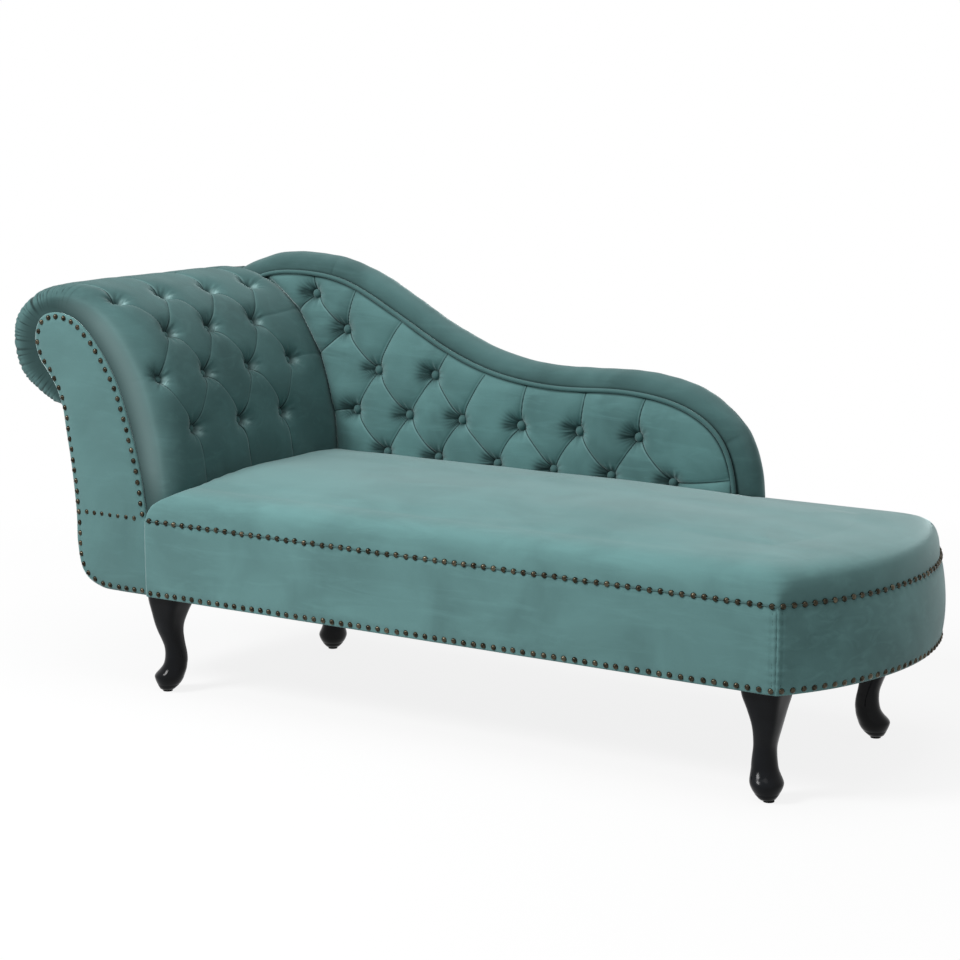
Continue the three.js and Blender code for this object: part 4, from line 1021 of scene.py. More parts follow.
class BuildStage(bpy.types.Operator):
    """Sets the camera, the pale floor and the soft studio light"""
    bl_idname = "couch.stage"
    bl_label = "Stage"

    def execute(self, context):
        scene = context.scene
        scene.view_settings.view_transform = "Standard"
        lens = bpy.data.cameras.new("view")
        lens.lens = CAMERA_LENS
        lens.sensor_width = 36.0
        lens.sensor_fit = "HORIZONTAL"
        lens.clip_end = 60.0
        camera = bpy.data.objects.new("view", lens)
        camera.matrix_world = self.matrix(*CAMERA_AXES, CAMERA_PLACE)
        scene.collection.objects.link(camera)
        scene.camera = camera
        for name, place, size, power in LAMPS:
            self.light(name, place, size, power)
        self.sky(scene)
        self.floor(scene)
        return {"FINISHED"}

    def matrix(self, right, up, back, place):
        """The matrix of three axes and a place."""
        rows = [(right[axis], up[axis], back[axis], place[axis]) for axis in range(3)]
        return Matrix(rows + [(0, 0, 0, 1)])

    def light(self, name, place, size, power):
        """A square soft light that faces the couch."""
        lamp = bpy.data.lights.new(name, "AREA")
        lamp.size = size
        lamp.energy = power
        holder = bpy.data.objects.new(name, lamp)
        back = np.array(place) - np.array(LAMP_AIM)
        back /= np.linalg.norm(back)
        overhead = abs(back[2]) > 0.99
        right = np.cross((0.0, 1.0, 0.0) if overhead else (0.0, 0.0, 1.0), back)
        right /= np.linalg.norm(right)
        holder.matrix_world = self.matrix(right, np.cross(back, right), back, place)
        bpy.context.scene.collection.objects.link(holder)

    def seen(self, nodes, link):
        """1 for rays that show the background, straight or by gloss or glass."""
        path = nodes.new("ShaderNodeLightPath")
        total = path.outputs["Is Camera Ray"]
        for name in ("Is Glossy Ray", "Is Transmission Ray"):
            add = nodes.new("ShaderNodeMath")
            add.operation = "ADD"
            add.use_clamp = True
            link(total, add.inputs[0])
            link(path.outputs[name], add.inputs[1])
            total = add.outputs[0]
        return total

    def sky(self, scene):
        """Soft light from all round, on a background that is white to the camera."""
        world = bpy.data.worlds.new("studio")
        world.use_nodes = True
        nodes, link = world.node_tree.nodes, world.node_tree.links.new
        soft = nodes["Background"]
        soft.inputs["Color"].default_value = (1.0, 1.0, 1.0, 1.0)
        soft.inputs["Strength"].default_value = SKY_STRENGTH
        white = node_with(nodes, "ShaderNodeBackground", Color=(1.0, 1.0, 1.0, 1.0), Strength=1.0)
        mix = nodes.new("ShaderNodeMixShader")
        link(self.seen(nodes, link), mix.inputs[0])
        link(soft.outputs[0], mix.inputs[1])
        link(white.outputs[0], mix.inputs[2])
        link(mix.outputs[0], nodes["World Output"].inputs["Surface"])
        scene.world = world

    def floor(self, scene):
        """A wide disc: it takes the couch's shadow near the feet and is white further out."""
        shape = bmesh.new()
        bmesh.ops.create_circle(shape, cap_ends=True, radius=FLOOR_RADIUS, segments=96)
        mesh = bpy.data.meshes.new("floor")
        shape.to_mesh(mesh)
        shape.free()
        floor = bpy.data.objects.new("floor", mesh)
        scene.collection.objects.link(floor)
        material = bpy.data.materials.new("pale_floor")
        material.use_nodes = True
        nodes, link = material.node_tree.nodes, material.node_tree.links.new
        shader = nodes["Principled BSDF"]
        shader.inputs["Roughness"].default_value = 0.9
        shader.inputs["Specular IOR Level"].default_value = 0.0
        # Greyer for the light that it throws back onto the couch than for the view of it.
        seen = self.seen(nodes, link)
        colour = nodes.new("ShaderNodeMix")
        colour.data_type = "RGBA"
        colour.inputs[6].default_value = (0.45, 0.45, 0.45, 1.0)
        colour.inputs[7].default_value = (0.96, 0.96, 0.96, 1.0)
        link(seen, colour.inputs[0])
        link(colour.outputs[2], shader.inputs["Base Color"])
        white = nodes.new("ShaderNodeEmission")
        place = nodes.new("ShaderNodeTexCoord")
        reach = nodes.new("ShaderNodeVectorMath")
        reach.operation = "LENGTH"
        link(place.outputs["Object"], reach.inputs[0])
        start, end = FLOOR_FADE
        fade = node_with(nodes, "ShaderNodeMapRange", From_Min=start, From_Max=end, To_Min=FLOOR_WHITE)
        link(reach.outputs["Value"], fade.inputs["Value"])
        share = nodes.new("ShaderNodeMath")
        share.operation = "MULTIPLY"
        link(fade.outputs[0], share.inputs[0])
        link(seen, share.inputs[1])
        mix = nodes.new("ShaderNodeMixShader")
        link(share.outputs[0], mix.inputs[0])
        link(shader.outputs[0], mix.inputs[1])
        link(white.outputs[0], mix.inputs[2])
        link(mix.outputs[0], nodes["Material Output"].inputs["Surface"])
        mesh.materials.append(material)


class BuildArmPad(bpy.types.Operator):
    """Makes the deep-buttoned pad that runs from the seat over the rolled arm"""
    bl_idname = "couch.arm_pad"
    bl_label = "Arm pad"

    def execute(self, context):
        sizes = context.scene.couch_sizes
        step = sizes.weave_step / MM
        base, run, rear_y, full = arm_base(step)
        outward = -surface_normals(base)
        across = unrolled(base)

        def on_cover(place):
            """A button's place with its depth counted along the cover."""
            row = np.argmin(np.abs(run - place[0]))
            return place[0], np.interp(place[1], base[row, :, 1], across[row])

        buttons = [on_cover(place) for place in ARM_BUTTONS]
        tails = [(index, on_cover(end), strength) for index, end, strength in ARM_TAILS]
        places = np.stack(np.broadcast_arrays(run[:, None], across), axis=2).reshape(-1, 2)
        paths = pleat_paths(buttons, tails, ARM_PLEATS)
        depths = (sizes.pleat_depth / MM, sizes.button_depth / MM)
        depth, marks = drawn_in(places, buttons, paths, depths, ARM_FULLNESS, ARM_SHADING_ROUND_BUTTONS, 2.0)
        # Nothing is drawn in past the last pleats, under the roll.
        fade = ramp(run, *BUTTONING_FADE)[:, None]
        marks = {field: values.reshape(across.shape) * fade for field, values in marks.items()}
        depth = depth.reshape(across.shape) * fade
        depth = depth - sizes.pillow_rise / MM * ramp(run, 0, 60)[:, None] * full
        depth = depth + self.gathered(base, run, full, marks) + self.settled(base, rear_y)
        cover = base - outward * depth[:, :, None]
        core = nail_core(step)
        inside = [standing(core, y)[:, None] for y in (rear_y, BOARD_FRONT_Y)]
        vertices, faces = skin(np.concatenate([cover] + inside, axis=1))
        none = np.zeros((run.size, 2))
        fields = {field: np.concatenate([values, none], axis=1).ravel() for field, values in marks.items()}
        pad = new_piece("arm_cover", vertices, faces, finish_named("velvet_arm"), **fields)
        finish_piece(pad, "velvet", "arm_pad", fill=0.85)
        seat_buttons("arm_buttons", cover, outward, run, across, buttons, sizes, -1.5)
        return {"FINISHED"}

    def gathered(self, base, run, full, marks):
        """How deep the folds round the head of the roll lie; adds painted shade in their troughs and beside
        the facing, and painted highlights on their crests and along the front edge.
        """
        folds, reach = self.gathers(base, run)
        beside = base[:, :, 1] - BOARD_FRONT_Y
        # Painted shade in the troughs of the folds and in a line beside the facing.
        crease = marks["crease"] + 2.3 * reach ** 0.6 * ramp(folds, 0.6, 0)
        marks["crease"] = np.clip(crease + 0.7 * ramp(beside, 3, 0), 0, 1)
        # A painted highlight runs along the rounded front edge, and on the crests of the folds.
        along = ramp(run, *PAINTED_HIGHLIGHT_COMES) * ramp(run, *PAINTED_HIGHLIGHT_GOES)
        painted_highlight = along[:, None] * bell(full - 0.3, 0.24) * (beside < PAINTED_HIGHLIGHT_REACH)
        marks["nap"] = np.clip(marks["nap"] + painted_highlight + 0.2 * reach * np.clip(folds - 1, 0, 1), -1, 1)
        return (2.7 * (0.9 - folds) - 3.5) * reach - 0.7 * ripple(base, 120, 5)

    def settled(self, base, rear_y):
        """How far the rear edge settles against the back, and the crest dips behind its end."""
        y = base[:, :, 1]
        before_back = rear_y[:, None] < BORDER_FRONT_Y + 4
        to_back = ramp(y, 178, 206) * before_back
        crest = ramp(y, 186, 226) * ~before_back
        return 5 * to_back ** 2 + 7 * crest

    def gathers(self, base, run):
        """Small folds that fan out from the nails round the head of the roll, and where they are."""
        head = ramp(run, *GATHERS_COME) * ramp(run, *GATHERS_GO)
        inward = (base[:, :, 1] - BOARD_FRONT_Y) / GATHERS_REACH
        reach = head[:, None] * np.clip(inward * 9, 0, 1) * np.clip(1 - inward, 0, 1) ** 1.2
        wander = run[:, None] + 4 * np.sin(base[:, :, 1] / 15)
        wander = wander + 7 * np.sin(wander / 23) + 4 * np.sin(wander / 9.1)
        folds = np.abs(np.sin(wander * math.pi / 11.5))
        folds = folds + 0.8 * np.abs(np.sin(wander * math.pi / 7.3 + 1)) * np.sin(wander / 41) ** 2
        return folds, reach


def arm_stations(step):
    """Even stations along the arm pad: how far along each is, its outline and its nail line."""
    controls = face_controls()
    fine = np.linspace(0, len(controls) - 1, 2600)
    run = lengths_along(spline(controls, fine))
    places = np.linspace(0, run[-1], int(run[-1] / step))
    at = np.interp(places, run, fine)
    return places, spline(controls, at), spline(nail_controls(), at)


def arm_base(step):
    """The arm pad without its buttoning, as a grid of stations round the roll and lines across;
    with how far along each station is, where its rear end lies, and how full each point is."""
    places, face, nails = arm_stations(step)
    count = places.size
    edge = nails - NAIL_INSET * left_normals(nails)
    edge[0, 1] = face[0, 1] = SEAT_Z
    turn = np.linspace(0, math.pi / 2, ARM_EDGE_LINES)
    front_y = BOARD_FRONT_Y + ARM_EDGE * (1 - np.cos(turn))
    front_full = (1 - np.cos(turn) ** ARM_EDGE_POWER) ** (1 / ARM_EDGE_POWER)
    lines = int((BOARD_BACK_Y - BOARD_FRONT_Y - ARM_EDGE) / step)
    share = np.linspace(0, 1, lines + 1)[1:]
    start = BOARD_FRONT_Y + ARM_EDGE
    free_y = start + (BOARD_BACK_Y - start) * share
    free_full = np.ones_like(share)
    rear_share = 1 - ARM_REAR_EDGE / (BOARD_BACK_Y - start)
    rounding = share > rear_share
    rear_turn = (share[rounding] - rear_share) / (1 - rear_share) * math.pi / 2
    free_y[rounding] = BOARD_BACK_Y - ARM_REAR_EDGE * (1 - np.sin(rear_turn))
    free_full[rounding] = np.cos(rear_turn)
    close_y = start + (BORDER_FRONT_Y - 0.3 - start) * share
    # Behind the back's front face the pad makes room for it, up to the border's end.
    rising = face[:, 1] > SEAT_Z + ARM_RISE / 2
    beyond = np.flatnonzero((face[:, 0] < ARM_FREE_X - 0.5) & rising)[0]
    close = np.clip((beyond - np.arange(count)) / 3 + 0.5, 0, 1)[:, None]
    rear_y = close * close_y + (1 - close) * free_y
    rear_full = close + (1 - close) * free_full
    y = np.concatenate([np.repeat(front_y[None], count, axis=0), rear_y], axis=1)
    full = np.concatenate([np.repeat(front_full[None], count, axis=0), rear_full], axis=1)
    flat = edge[:, None, :] + (face - edge)[:, None, :] * full[..., None]
    return np.stack([flat[..., 0], y, flat[..., 1]], axis=2), places, y[:, -1], full


def unrolled(base):
    """Depth of each point of the arm's cover, counted along the cover round its front edge."""
    last = ARM_EDGE_LINES - 1
    steps = np.linalg.norm(np.diff(base[:, :last + 1], axis=1), axis=2)
    across = base[:, :, 1].copy()
    across[:, :last] = across[:, last:last + 1] - np.cumsum(steps[:, ::-1], axis=1)[:, ::-1]
    return across


def nail_core(step):
    """The pad's inner line, over the liner."""
    nails = arm_stations(step)[2]
    core = nails - PAD_INNER * left_normals(nails)
    core[0, 1] = SEAT_Z
    return core


def seat_buttons(name, points, outward, along, across, buttons, sizes, proud):
    """Sets covered buttons at the bottom of the dips of a buttoned cover."""
    places, aims = [], []
    if along.ndim == 1:
        along = np.repeat(along[:, None], points.shape[1], axis=1)
    for first, second in buttons:
        gap = (along - first) ** 2 + (across - second) ** 2
        row, column = np.unravel_index(np.argmin(gap), gap.shape)
        places.append(points[row, column] + proud * outward[row, column])
        aims.append(outward[row, column])
    chance = np.random.default_rng(len(name))
    aims = np.array(aims) + chance.normal(scale=0.05, size=(len(aims), 3))
    tree = bpy.data.node_groups.get("button_tree") or scatter_tree("button_tree", 20, 10)
    width = sizes.button_width
    piece = scattered(name, places, aims, np.tile((0.0, 0.0, 1.0), (len(aims), 1)), tree,
                      (width, width, sizes.button_rise), finish_named("velvet_trim"))
    finish_piece(piece, "velvet")


class BuildArmPanels(bpy.types.Operator):
    """Makes the plain facings of the arm and the panel on its outside"""
    bl_idname = "couch.arm_panels"
    bl_label = "Arm facings and outside panel"

    def execute(self, context):
        pitch = context.scene.couch_sizes.nail_pitch / MM
        outline = nail_line(3.0, NAIL_INSET)
        outline[-1, 0] = JOINT_X - 0.3
        outline = np.vstack([outline, [(JOINT_X - 0.3, SEAT_Z)]])
        nails = nail_line(2.0)
        waves = 2 * math.pi * lengths_along(nails)[-1] / pitch
        for side, node, face_y, out in (("front", "arm_facing_front", FACING_FRONT_Y, -1.0),
                                        ("rear", "arm_facing_back", BACK_Y, 1.0)):
            def front(flat, gap, face_y=face_y, out=out):
                near, _, where = line_distance(flat, nails)
                tug = 0.5 + 0.5 * np.cos(waves * where)
                lift = 1.9 * (1 - np.exp(-gap / 24)) - 2.2 * (1 - rounded_edge(gap, 4))
                lift = lift + 0.35 * ripple(flat, 90, 11) - (0.7 + 0.6 * tug) * bell(near, 4.5)
                return standing(flat, face_y + out * lift)

            def rear(flat, face_y=face_y, out=out):
                return standing(flat, face_y - 5 * out)

            vertices, faces = panel(outline, 3.6, front, rear)
            piece = new_piece("arm_facing_cover_" + side, vertices, faces, finish_named("velvet_facing"))
            finish_piece(piece, "velvet", node)
        self.outside_panel()
        return {"FINISHED"}

    def outside_panel(self):
        """The panel under the roll, from the tuck to the lower corner."""
        controls = nail_controls()
        count = 130
        tuck = len(ARM_STATIONS) - 1
        line = spline(controls, np.linspace(tuck + 0.02, len(controls) - 2, count))
        out = -left_normals(line)
        rim = np.array([0, 0.4, 1.2, 2.6, 5])
        y = np.concatenate([BOARD_FRONT_Y + rim, np.linspace(BOARD_FRONT_Y + 10, BOARD_BACK_Y - 10, 70),
                            BOARD_BACK_Y - rim[::-1]])
        gap = np.minimum(y - BOARD_FRONT_Y, BOARD_BACK_Y - y)
        end = np.minimum(np.arange(count), np.arange(count)[::-1]) * 2.5
        crown = (1 - np.exp(-gap / 60))[None] * (1 - np.exp(-end / 40))[:, None]
        grid = np.stack(np.broadcast_arrays(line[:, :1], y[None], line[:, 1:]), axis=2)
        lift = 3.2 + rounded_edge(gap, 5)[None] + 2.0 * crown + 0.35 * ripple(grid, 110, 8)
        grid = grid + standing(out, 0.0)[:, None] * lift[..., None]
        ends = [standing(line + 3.8 * out, depth)[:, None] for depth in (BOARD_BACK_Y, BOARD_FRONT_Y)]
        vertices, faces = skin(np.concatenate([grid] + ends, axis=1))
        piece = new_piece("arm_outside_cover", vertices, faces, finish_named("velvet_outside"))
        finish_piece(piece, "velvet", "head_panel")


class BuildBackPad(bpy.types.Operator):
    """Makes the deep-buttoned pad of the back, up to the piping"""
    bl_idname = "couch.back_pad"
    bl_label = "Back pad"

    def execute(self, context):
        sizes = context.scene.couch_sizes
        step = sizes.weave_step / MM
        edge = welt_line(-0.3, 2.0)
        right = edge[-1, 0] - 0.1
        x = np.linspace(BACK_HIDDEN_X, right, int((right - BACK_HIDDEN_X) / step))
        top = np.interp(x, edge[:, 0], edge[:, 1])
        rows = int(WELT_RISE / step)
        z = SEAT_Z + (top - SEAT_Z)[:, None] * np.linspace(0, 1, rows)[None]
        flat = np.stack(np.broadcast_arrays(x[:, None], z), axis=2).reshape(-1, 2)
        paths = pleat_paths(BACK_BUTTONS, BACK_TAILS, BACK_PLEATS)
        depths = (sizes.pleat_depth / MM, sizes.back_button_depth / MM)
        depth, marks = drawn_in(flat, BACK_BUTTONS, paths, depths, BACK_FULLNESS, BACK_SHADING_ROUND_BUTTONS, 0.4)
        welt_gap = line_distance(flat, welt_line(0, 8.0))[0]
        # Painted shade in a line along the piping.
        marks["crease"] = np.maximum(marks["crease"], 0.95 * ramp(welt_gap, 8, 5))
        sink = BACK_SINK * (1 - rounded_edge(welt_gap, BACK_SINK_WIDTH))
        swell = sizes.pillow_rise / MM * ramp(welt_gap, 0, 60)
        arm_x = arm_face_x(flat[:, 1])
        settled = 7 * ramp(flat[:, 0] - arm_x, 30, 0) ** 2
        y = BACK_FACE_Y + sink + depth - swell + settled + 0.6 * ripple(flat, 110, 3)
        # Where the arm pad stands in front of it, it stays behind the arm pad's rear end.
        y = np.where(flat[:, 0] < arm_x + 1.0, np.maximum(y, BORDER_FRONT_Y + 0.4), y)
        y = np.minimum(y, BACK_BOARD_Y - 4)
        front = standing(flat, y).reshape(len(x), rows, 3)[:, ::-1]
        inside = [standing(np.column_stack([x, height]), BACK_BOARD_Y)[:, None]
                  for height in (np.full(len(x), SEAT_Z), top)]
        vertices, faces = skin(np.concatenate(inside + [front], axis=1))
        none = np.zeros((len(x), 2))
        fields = {field: np.concatenate([none, values.reshape(len(x), rows)[:, ::-1]], axis=1).ravel()
                  for field, values in marks.items()}
        pad = new_piece("back_cover", vertices, faces, finish_named("velvet_back"), **fields)
        finish_piece(pad, "velvet", "back_pad", fill=0.85)
        outward = np.zeros_like(front)
        outward[..., 1] = -1.0
        seat_buttons("back_buttons", front, outward, front[..., 0], front[..., 2], BACK_BUTTONS, sizes, 3.5)
        return {"FINISHED"}


def arm_face_x(heights):
    """How far the arm pad's face reaches along the seat at each height."""
    controls = face_controls()
    curve = spline(controls[:7], np.linspace(0, 6, 300))
    rising = np.argsort(curve[:, 1])
    return np.interp(heights, curve[rising, 1], curve[rising, 0], right=ARM_FREE_X)


class BuildBackTrim(bpy.types.Operator):
    """Makes the padded border, the piping under it and the plain outer back"""
    bl_idname = "couch.back_trim"
    bl_label = "Border, piping and outer back"

    def execute(self, context):
        self.border()
        tree = piping_tree("piping_tree")
        sizes = context.scene.couch_sizes
        line = welt_line(0, 4.0)
        y = BORDER_FRONT_Y - 0.3 - sizes.cord_width / MM / 2
        line = line[line[:, 0] > arm_face_x(line[:, 1]) - 40]
        cord = piped("back_piping", standing(line, y), sizes.cord_width / 2, tree,
                     finish_named("velvet_trim"), 16)
        finish_piece(cord, "velvet", "back_welt")
        self.outer_back()
        return {"FINISHED"}

    def border(self):
        """A padded roll along the top edge, round in front, pulled in a little at its seams."""
        line = welt_line(0, 3.0)
        fall = np.linspace(1, 0, 16)[:-1]
        turn = np.linspace(0, math.pi / 2, 19)
        y = np.concatenate([BORDER_RIDGE_Y + fall * (BORDER_BACK_Y - BORDER_RIDGE_Y),
                            BORDER_RIDGE_Y - np.sin(turn) * (BORDER_RIDGE_Y - BORDER_FRONT_Y)])
        rise = 0.3 + (BORDER_RISE - 0.3) * np.concatenate([1 - fall ** 1.6, np.cos(turn) ** 0.9])
        skirt = [(REAR_INNER_Y, 0.3), (REAR_INNER_Y, -BORDER_SKIRT), (BORDER_BACK_Y, -BORDER_SKIRT)]
        section = np.vstack([skirt, np.column_stack([y, rise])])
        flat = line[:, None] + left_normals(line)[:, None] * section[:, 1:]
        grid = np.stack(np.broadcast_arrays(flat[..., 0], section[:, 0], flat[..., 1]), axis=2)
        outward = grid - standing(line, (BORDER_FRONT_Y + BORDER_BACK_Y) / 2)[:, None]
        outward /= np.linalg.norm(outward, axis=2)[..., None]
        # Only the roll is soft, not the skirt; low is 1 at the front seam, under the roll.
        roll = slice(len(skirt), None)
        soft, low, seam = (np.zeros(len(section)) for _ in range(3))
        soft[roll] = np.sin(np.linspace(0, math.pi, len(y))) ** 0.5
        low[roll] = np.clip(1 - rise / BORDER_RISE, 0, 1) * (y < BORDER_RIDGE_Y)
        # Painted shade: a dark line along the front seam and at the puckers, and a tone that is a little
        # lighter along the top and darker towards the seam under the roll.
        seam[roll] = 0.9 * ramp(rise, 6, 3) * (y < BORDER_RIDGE_Y)
        push = 0.9 * ripple(grid, 130, 21) + 0.4 * ripple(grid, 45, 22)
        crease = np.repeat(seam[None], len(line), axis=0)
        pile_and_shade = np.repeat((0.1 - 0.5 * low ** 1.3)[None], len(line), axis=0)
        for axis, place in BORDER_PUCKERS:
            gap = line[:, axis:axis + 1] - place
            push -= 2.2 * low ** 0.5 * bell(gap, 7)
            push += 0.5 * low * np.sin(gap * 1.1) * bell(gap, 20)
            crease = np.maximum(crease, 0.5 * low * bell(gap, 2.2))
        grid = grid + outward * (push * soft)[..., None]
        grid[..., 2] = np.maximum(grid[..., 2], SEAT_Z)
        vertices, faces = skin(np.concatenate([self.head_end(line, grid), grid]))
        crease, pile_and_shade = (np.concatenate([field[:1], field]).ravel() for field in (crease, pile_and_shade))
        piece = new_piece("back_border_cover", vertices, faces, finish_named("velvet_border"),
                          crease=crease, nap=pile_and_shade)
        finish_piece(piece, "velvet", "back_border", fill=0.9)

    def head_end(self, line, grid):
        """The border's end, upright against the arm pad and over the rear facing."""
        facing = nail_line(4.0, NAIL_INSET + 0.6)
        facing = facing[:np.argmax(facing[:, 1])][::-1]
        slope = (line[1, 1] - line[0, 1]) / (line[1, 0] - line[0, 0])
        end = grid[:1].copy()
        end[..., 2] = np.maximum(end[..., 2] + slope * (BORDER_END_X - end[..., 0]),
                                 np.interp(BORDER_END_X, facing[:, 0], facing[:, 1]))
        end[..., 0] = BORDER_END_X
        return end

    def outer_back(self):
        """The flat panel on the rear, inside the border's skirt."""
        arm = nail_line(4.0, NAIL_INSET + 0.6)
        limit = welt_line(-BORDER_SKIRT - 0.3, 4.0)
        ceiling = np.interp(arm[:, 0], limit[:, 0], limit[:, 1])
        keep = np.cumprod((arm[:, 1] < ceiling - 1) & (arm[:, 0] > limit[0, 0] + 1)).astype(bool)
        right = limit[limit[:, 0] > arm[keep][-1, 0] + 1]
        outline = np.vstack([arm[keep], right])[::-1]

        def front(flat, gap):
            lift = 2.5 * rounded_edge(gap, 5) + 1.2 * (1 - np.exp(-gap / 50)) + 0.4 * ripple(flat, 150, 31)
            return standing(flat, BACK_Y - 2.5 + lift)

        def rear(flat):
            return standing(flat, REAR_INNER_Y)

        vertices, faces = panel(outline, 6.0, front, rear)
        piece = new_piece("outer_back_cover", vertices, faces, finish_named("velvet_outside"))
        finish_piece(piece, "velvet", "back_outer_panel")


class BuildSeat(bpy.types.Operator):
    """Makes the crowned seat cushion with its bowed foot end"""
    bl_idname = "couch.seat"
    bl_label = "Seat cushion"

    def execute(self, context):
        rows = spline(SEAT_EDGE, np.linspace(0, len(SEAT_EDGE) - 1, SEAT_ROWS))
        side = np.array([lying(self.outline(1.5 + inset, 3 + 0.42 * rise), SEAT_Z + rise)
                         for inset, rise in rows])
        index = np.arange(side.shape[0] * side.shape[1]).reshape(side.shape[:2])
        rim = side[-1, :, :2]
        flat, faces = filled(rim, 5.0)
        top = lying(flat, SEAT_Z + rows[-1, 1] + self.crown(flat, line_distance(flat, rim)[0]))
        vertices = np.vstack([side.reshape(-1, 3), top[len(rim):]])
        every = ring_quads(index) + [[index[-1, 0] + number for number in face] for face in faces]
        every.append(index[0, ::-1].tolist())
        # The cushion's own corner slopes down beside the arm.
        limit = SEAT_Z + np.interp(vertices[:, 0] - JOINT_X, *SEAT_CORNER)
        vertices[:, 2] = np.minimum(vertices[:, 2], limit)
        cushion = new_piece("seat_cover", vertices, every, finish_named("velvet_seat"))
        self.carve(cushion)
        finish_piece(cushion, "velvet", "seat_cushion", fill=0.9)
        return {"FINISHED"}

    def crown(self, flat, gap):
        """How high the top stands over its own edge: crowned, lower towards the foot end and a
        little fuller in front of the back."""
        share = ramp(gap, 0, CROWN_REACH)
        slope = ramp(flat[:, 0], *FOOT_SLOPE)
        settled = FOOT_DROP * slope - 4 * (1 - slope) * ramp(flat[:, 1], 40, 190)
        uneven = 0.9 * ripple(flat, 260, 41) + 0.35 * ripple(flat, 90, 42)
        return CROWN_RISE * share * (2 - share) - settled * ramp(gap, 0, 80) + uneven * ramp(gap, 0, 30)

    def outline(self, inset, rounding):
        """The cushion in plan, drawn in, with its foot corners rounded."""
        reach, left, count = BACK_Y - inset, JOINT_X + 0.3, 800
        path = np.vstack([[(left, -reach)], foot_arc(inset, 160), [(left, reach)]])
        path, _ = even_line(path, 4.0)
        path, _ = even_line(path, lengths_along(path)[-1] / count)
        return smoothed(path, max(int(rounding / 4), 1))[:count + 1]

    def carve(self, cushion):
        """Cuts the cushion back to the arm pad and the back pad."""
        base, core = arm_base(CARVE_STEP)[0], nail_core(CARVE_STEP)
        ends = [standing(core - np.array([6, 0]), y)[:, None] for y in (base[0, -1, 1], BOARD_FRONT_Y)]
        rings = np.concatenate([base + np.array([0.4, 0, 0])] + ends, axis=1)
        rings[0, :, 2] -= 20
        block = np.array([lying(np.array(BACK_ROOM), z) for z in (300.0, 600.0)])
        for name, shape in (("arm_room", skin(rings)), ("back_room", skin(block))):
            tool = new_piece(name, shape[0], shape[1], finish_named("velvet_seat"), False)
            cut = cushion.modifiers.new(name, "BOOLEAN")
            cut.operation = "DIFFERENCE"
            cut.solver = "EXACT"
            cut.object = tool
            depsgraph = bpy.context.evaluated_depsgraph_get()
            mesh = bpy.data.meshes.new_from_object(cushion.evaluated_get(depsgraph))
            cushion.modifiers.clear()
            cushion.data = mesh
            bpy.data.objects.remove(tool)
        if len(cushion.data.vertices) < 1000:
            raise RuntimeError("the cushion was cut away")


def foot_bulge(height):
    """How far the padded foot end swells past the frame at each height."""
    share = (np.asarray(height, float) - BASE_BOTTOM) / (FRAME_TOP - BASE_BOTTOM)
    return FOOT_SWELL * np.sin(math.pi * np.clip(share, 0, 1)) ** 0.7 + FOOT_LOW_SWELL * (1 - share)


def foot_middle(run, length):
    """1 along the foot end, falling to 0 at its corners."""
    return ramp(np.minimum(run, length - run), 0, FOOT_CORNER) ** 0.8


class BuildBands(bpy.types.Operator):
    """Makes the three upholstered bands round the base"""
    bl_idname = "couch.bands"
    bl_label = "Base bands"

    def execute(self, context):
        front = np.column_stack([np.linspace(JOINT_X, CORNER_X - 0.2, 430), np.full(430, FRONT_Y)])
        rear = np.column_stack([np.linspace(CORNER_X - 0.2, JOINT_X, 320), np.full(320, BACK_Y)])
        foot = foot_arc(0, 230)
        foot[0, 0] += 0.2
        foot[-1, 0] += 0.2
        for side, line, seams in (("front", front, (False, True)), ("foot", foot, (True, True)),
                                  ("back", rear, (True, False))):
            self.band(context, side, line, seams)
        return {"FINISHED"}

    def band(self, context, side, line, seams):
        """One band with rounded edges, drawn in at its nails and at the corners that are sewn."""
        pitch = context.scene.couch_sizes.nail_pitch / MM
        out = -left_normals(line)
        rim = np.array([0, 0.3, 0.9, 1.8, 3, 4.5])
        z = np.concatenate([BASE_BOTTOM + rim, np.linspace(BASE_BOTTOM + 6.5, FRAME_TOP - 6.5, 52),
                            FRAME_TOP - rim[::-1]])
        run = lengths_along(line)
        gap = np.minimum(z - BASE_BOTTOM, FRAME_TOP - z)
        lift = 1.7 * (1 - np.exp(-gap / 22)) - 2.0 * (1 - rounded_edge(gap, 3))
        lift = np.repeat(lift[None], len(line), axis=0)
        if side == "foot":
            lift = lift + foot_bulge(z)[None] * foot_middle(run, run[-1])[:, None]
        count = max(round(run[-1] / pitch), 1)
        tug = 0.5 + 0.5 * np.cos(2 * math.pi * (run * count / run[-1] - 0.5))
        rows = bell(z - LOW_NAIL_Z, 5) + bell(z - FRAME_TOP, 7)
        lift = lift - 0.8 * rows[None] * (0.3 + tug[:, None])
        for off, sewn in zip((run, run[-1] - run), seams):
            if sewn:
                lift = lift + self.seam(off[:, None], z[None])
        grid = np.stack(np.broadcast_arrays(line[:, :1], line[:, 1:], z[None]), axis=2)
        if side != "back":
            lift = lift + 0.25 * ripple(grid, 120, 51)
        grid = grid + lying(out, 0.0)[:, None] * lift[..., None]
        ends = [lying(line - BAND_THICKNESS * out, height)[:, None] for height in (FRAME_TOP, BASE_BOTTOM)]
        vertices, faces = skin(np.concatenate([grid] + ends, axis=1))
        finish = finish_named("velvet_foot" if side == "foot" else "velvet_band")
        piece = new_piece("band_cover_" + side, vertices, faces, finish)
        finish_piece(piece, "velvet", "band_" + side)

    def seam(self, off, height):
        """How a corner seam and the row of stitches beside it pull the cover in."""
        pucker = np.sin(height / 2.7 + 1.3 * np.sin(height / 11)) * (0.6 + 0.4 * np.sin(off))
        return 1.1 * pucker * bell(off, 17) - 2.0 * bell(off, 2.4) - 1.3 * bell(off - STITCH_INSET, 1.7)


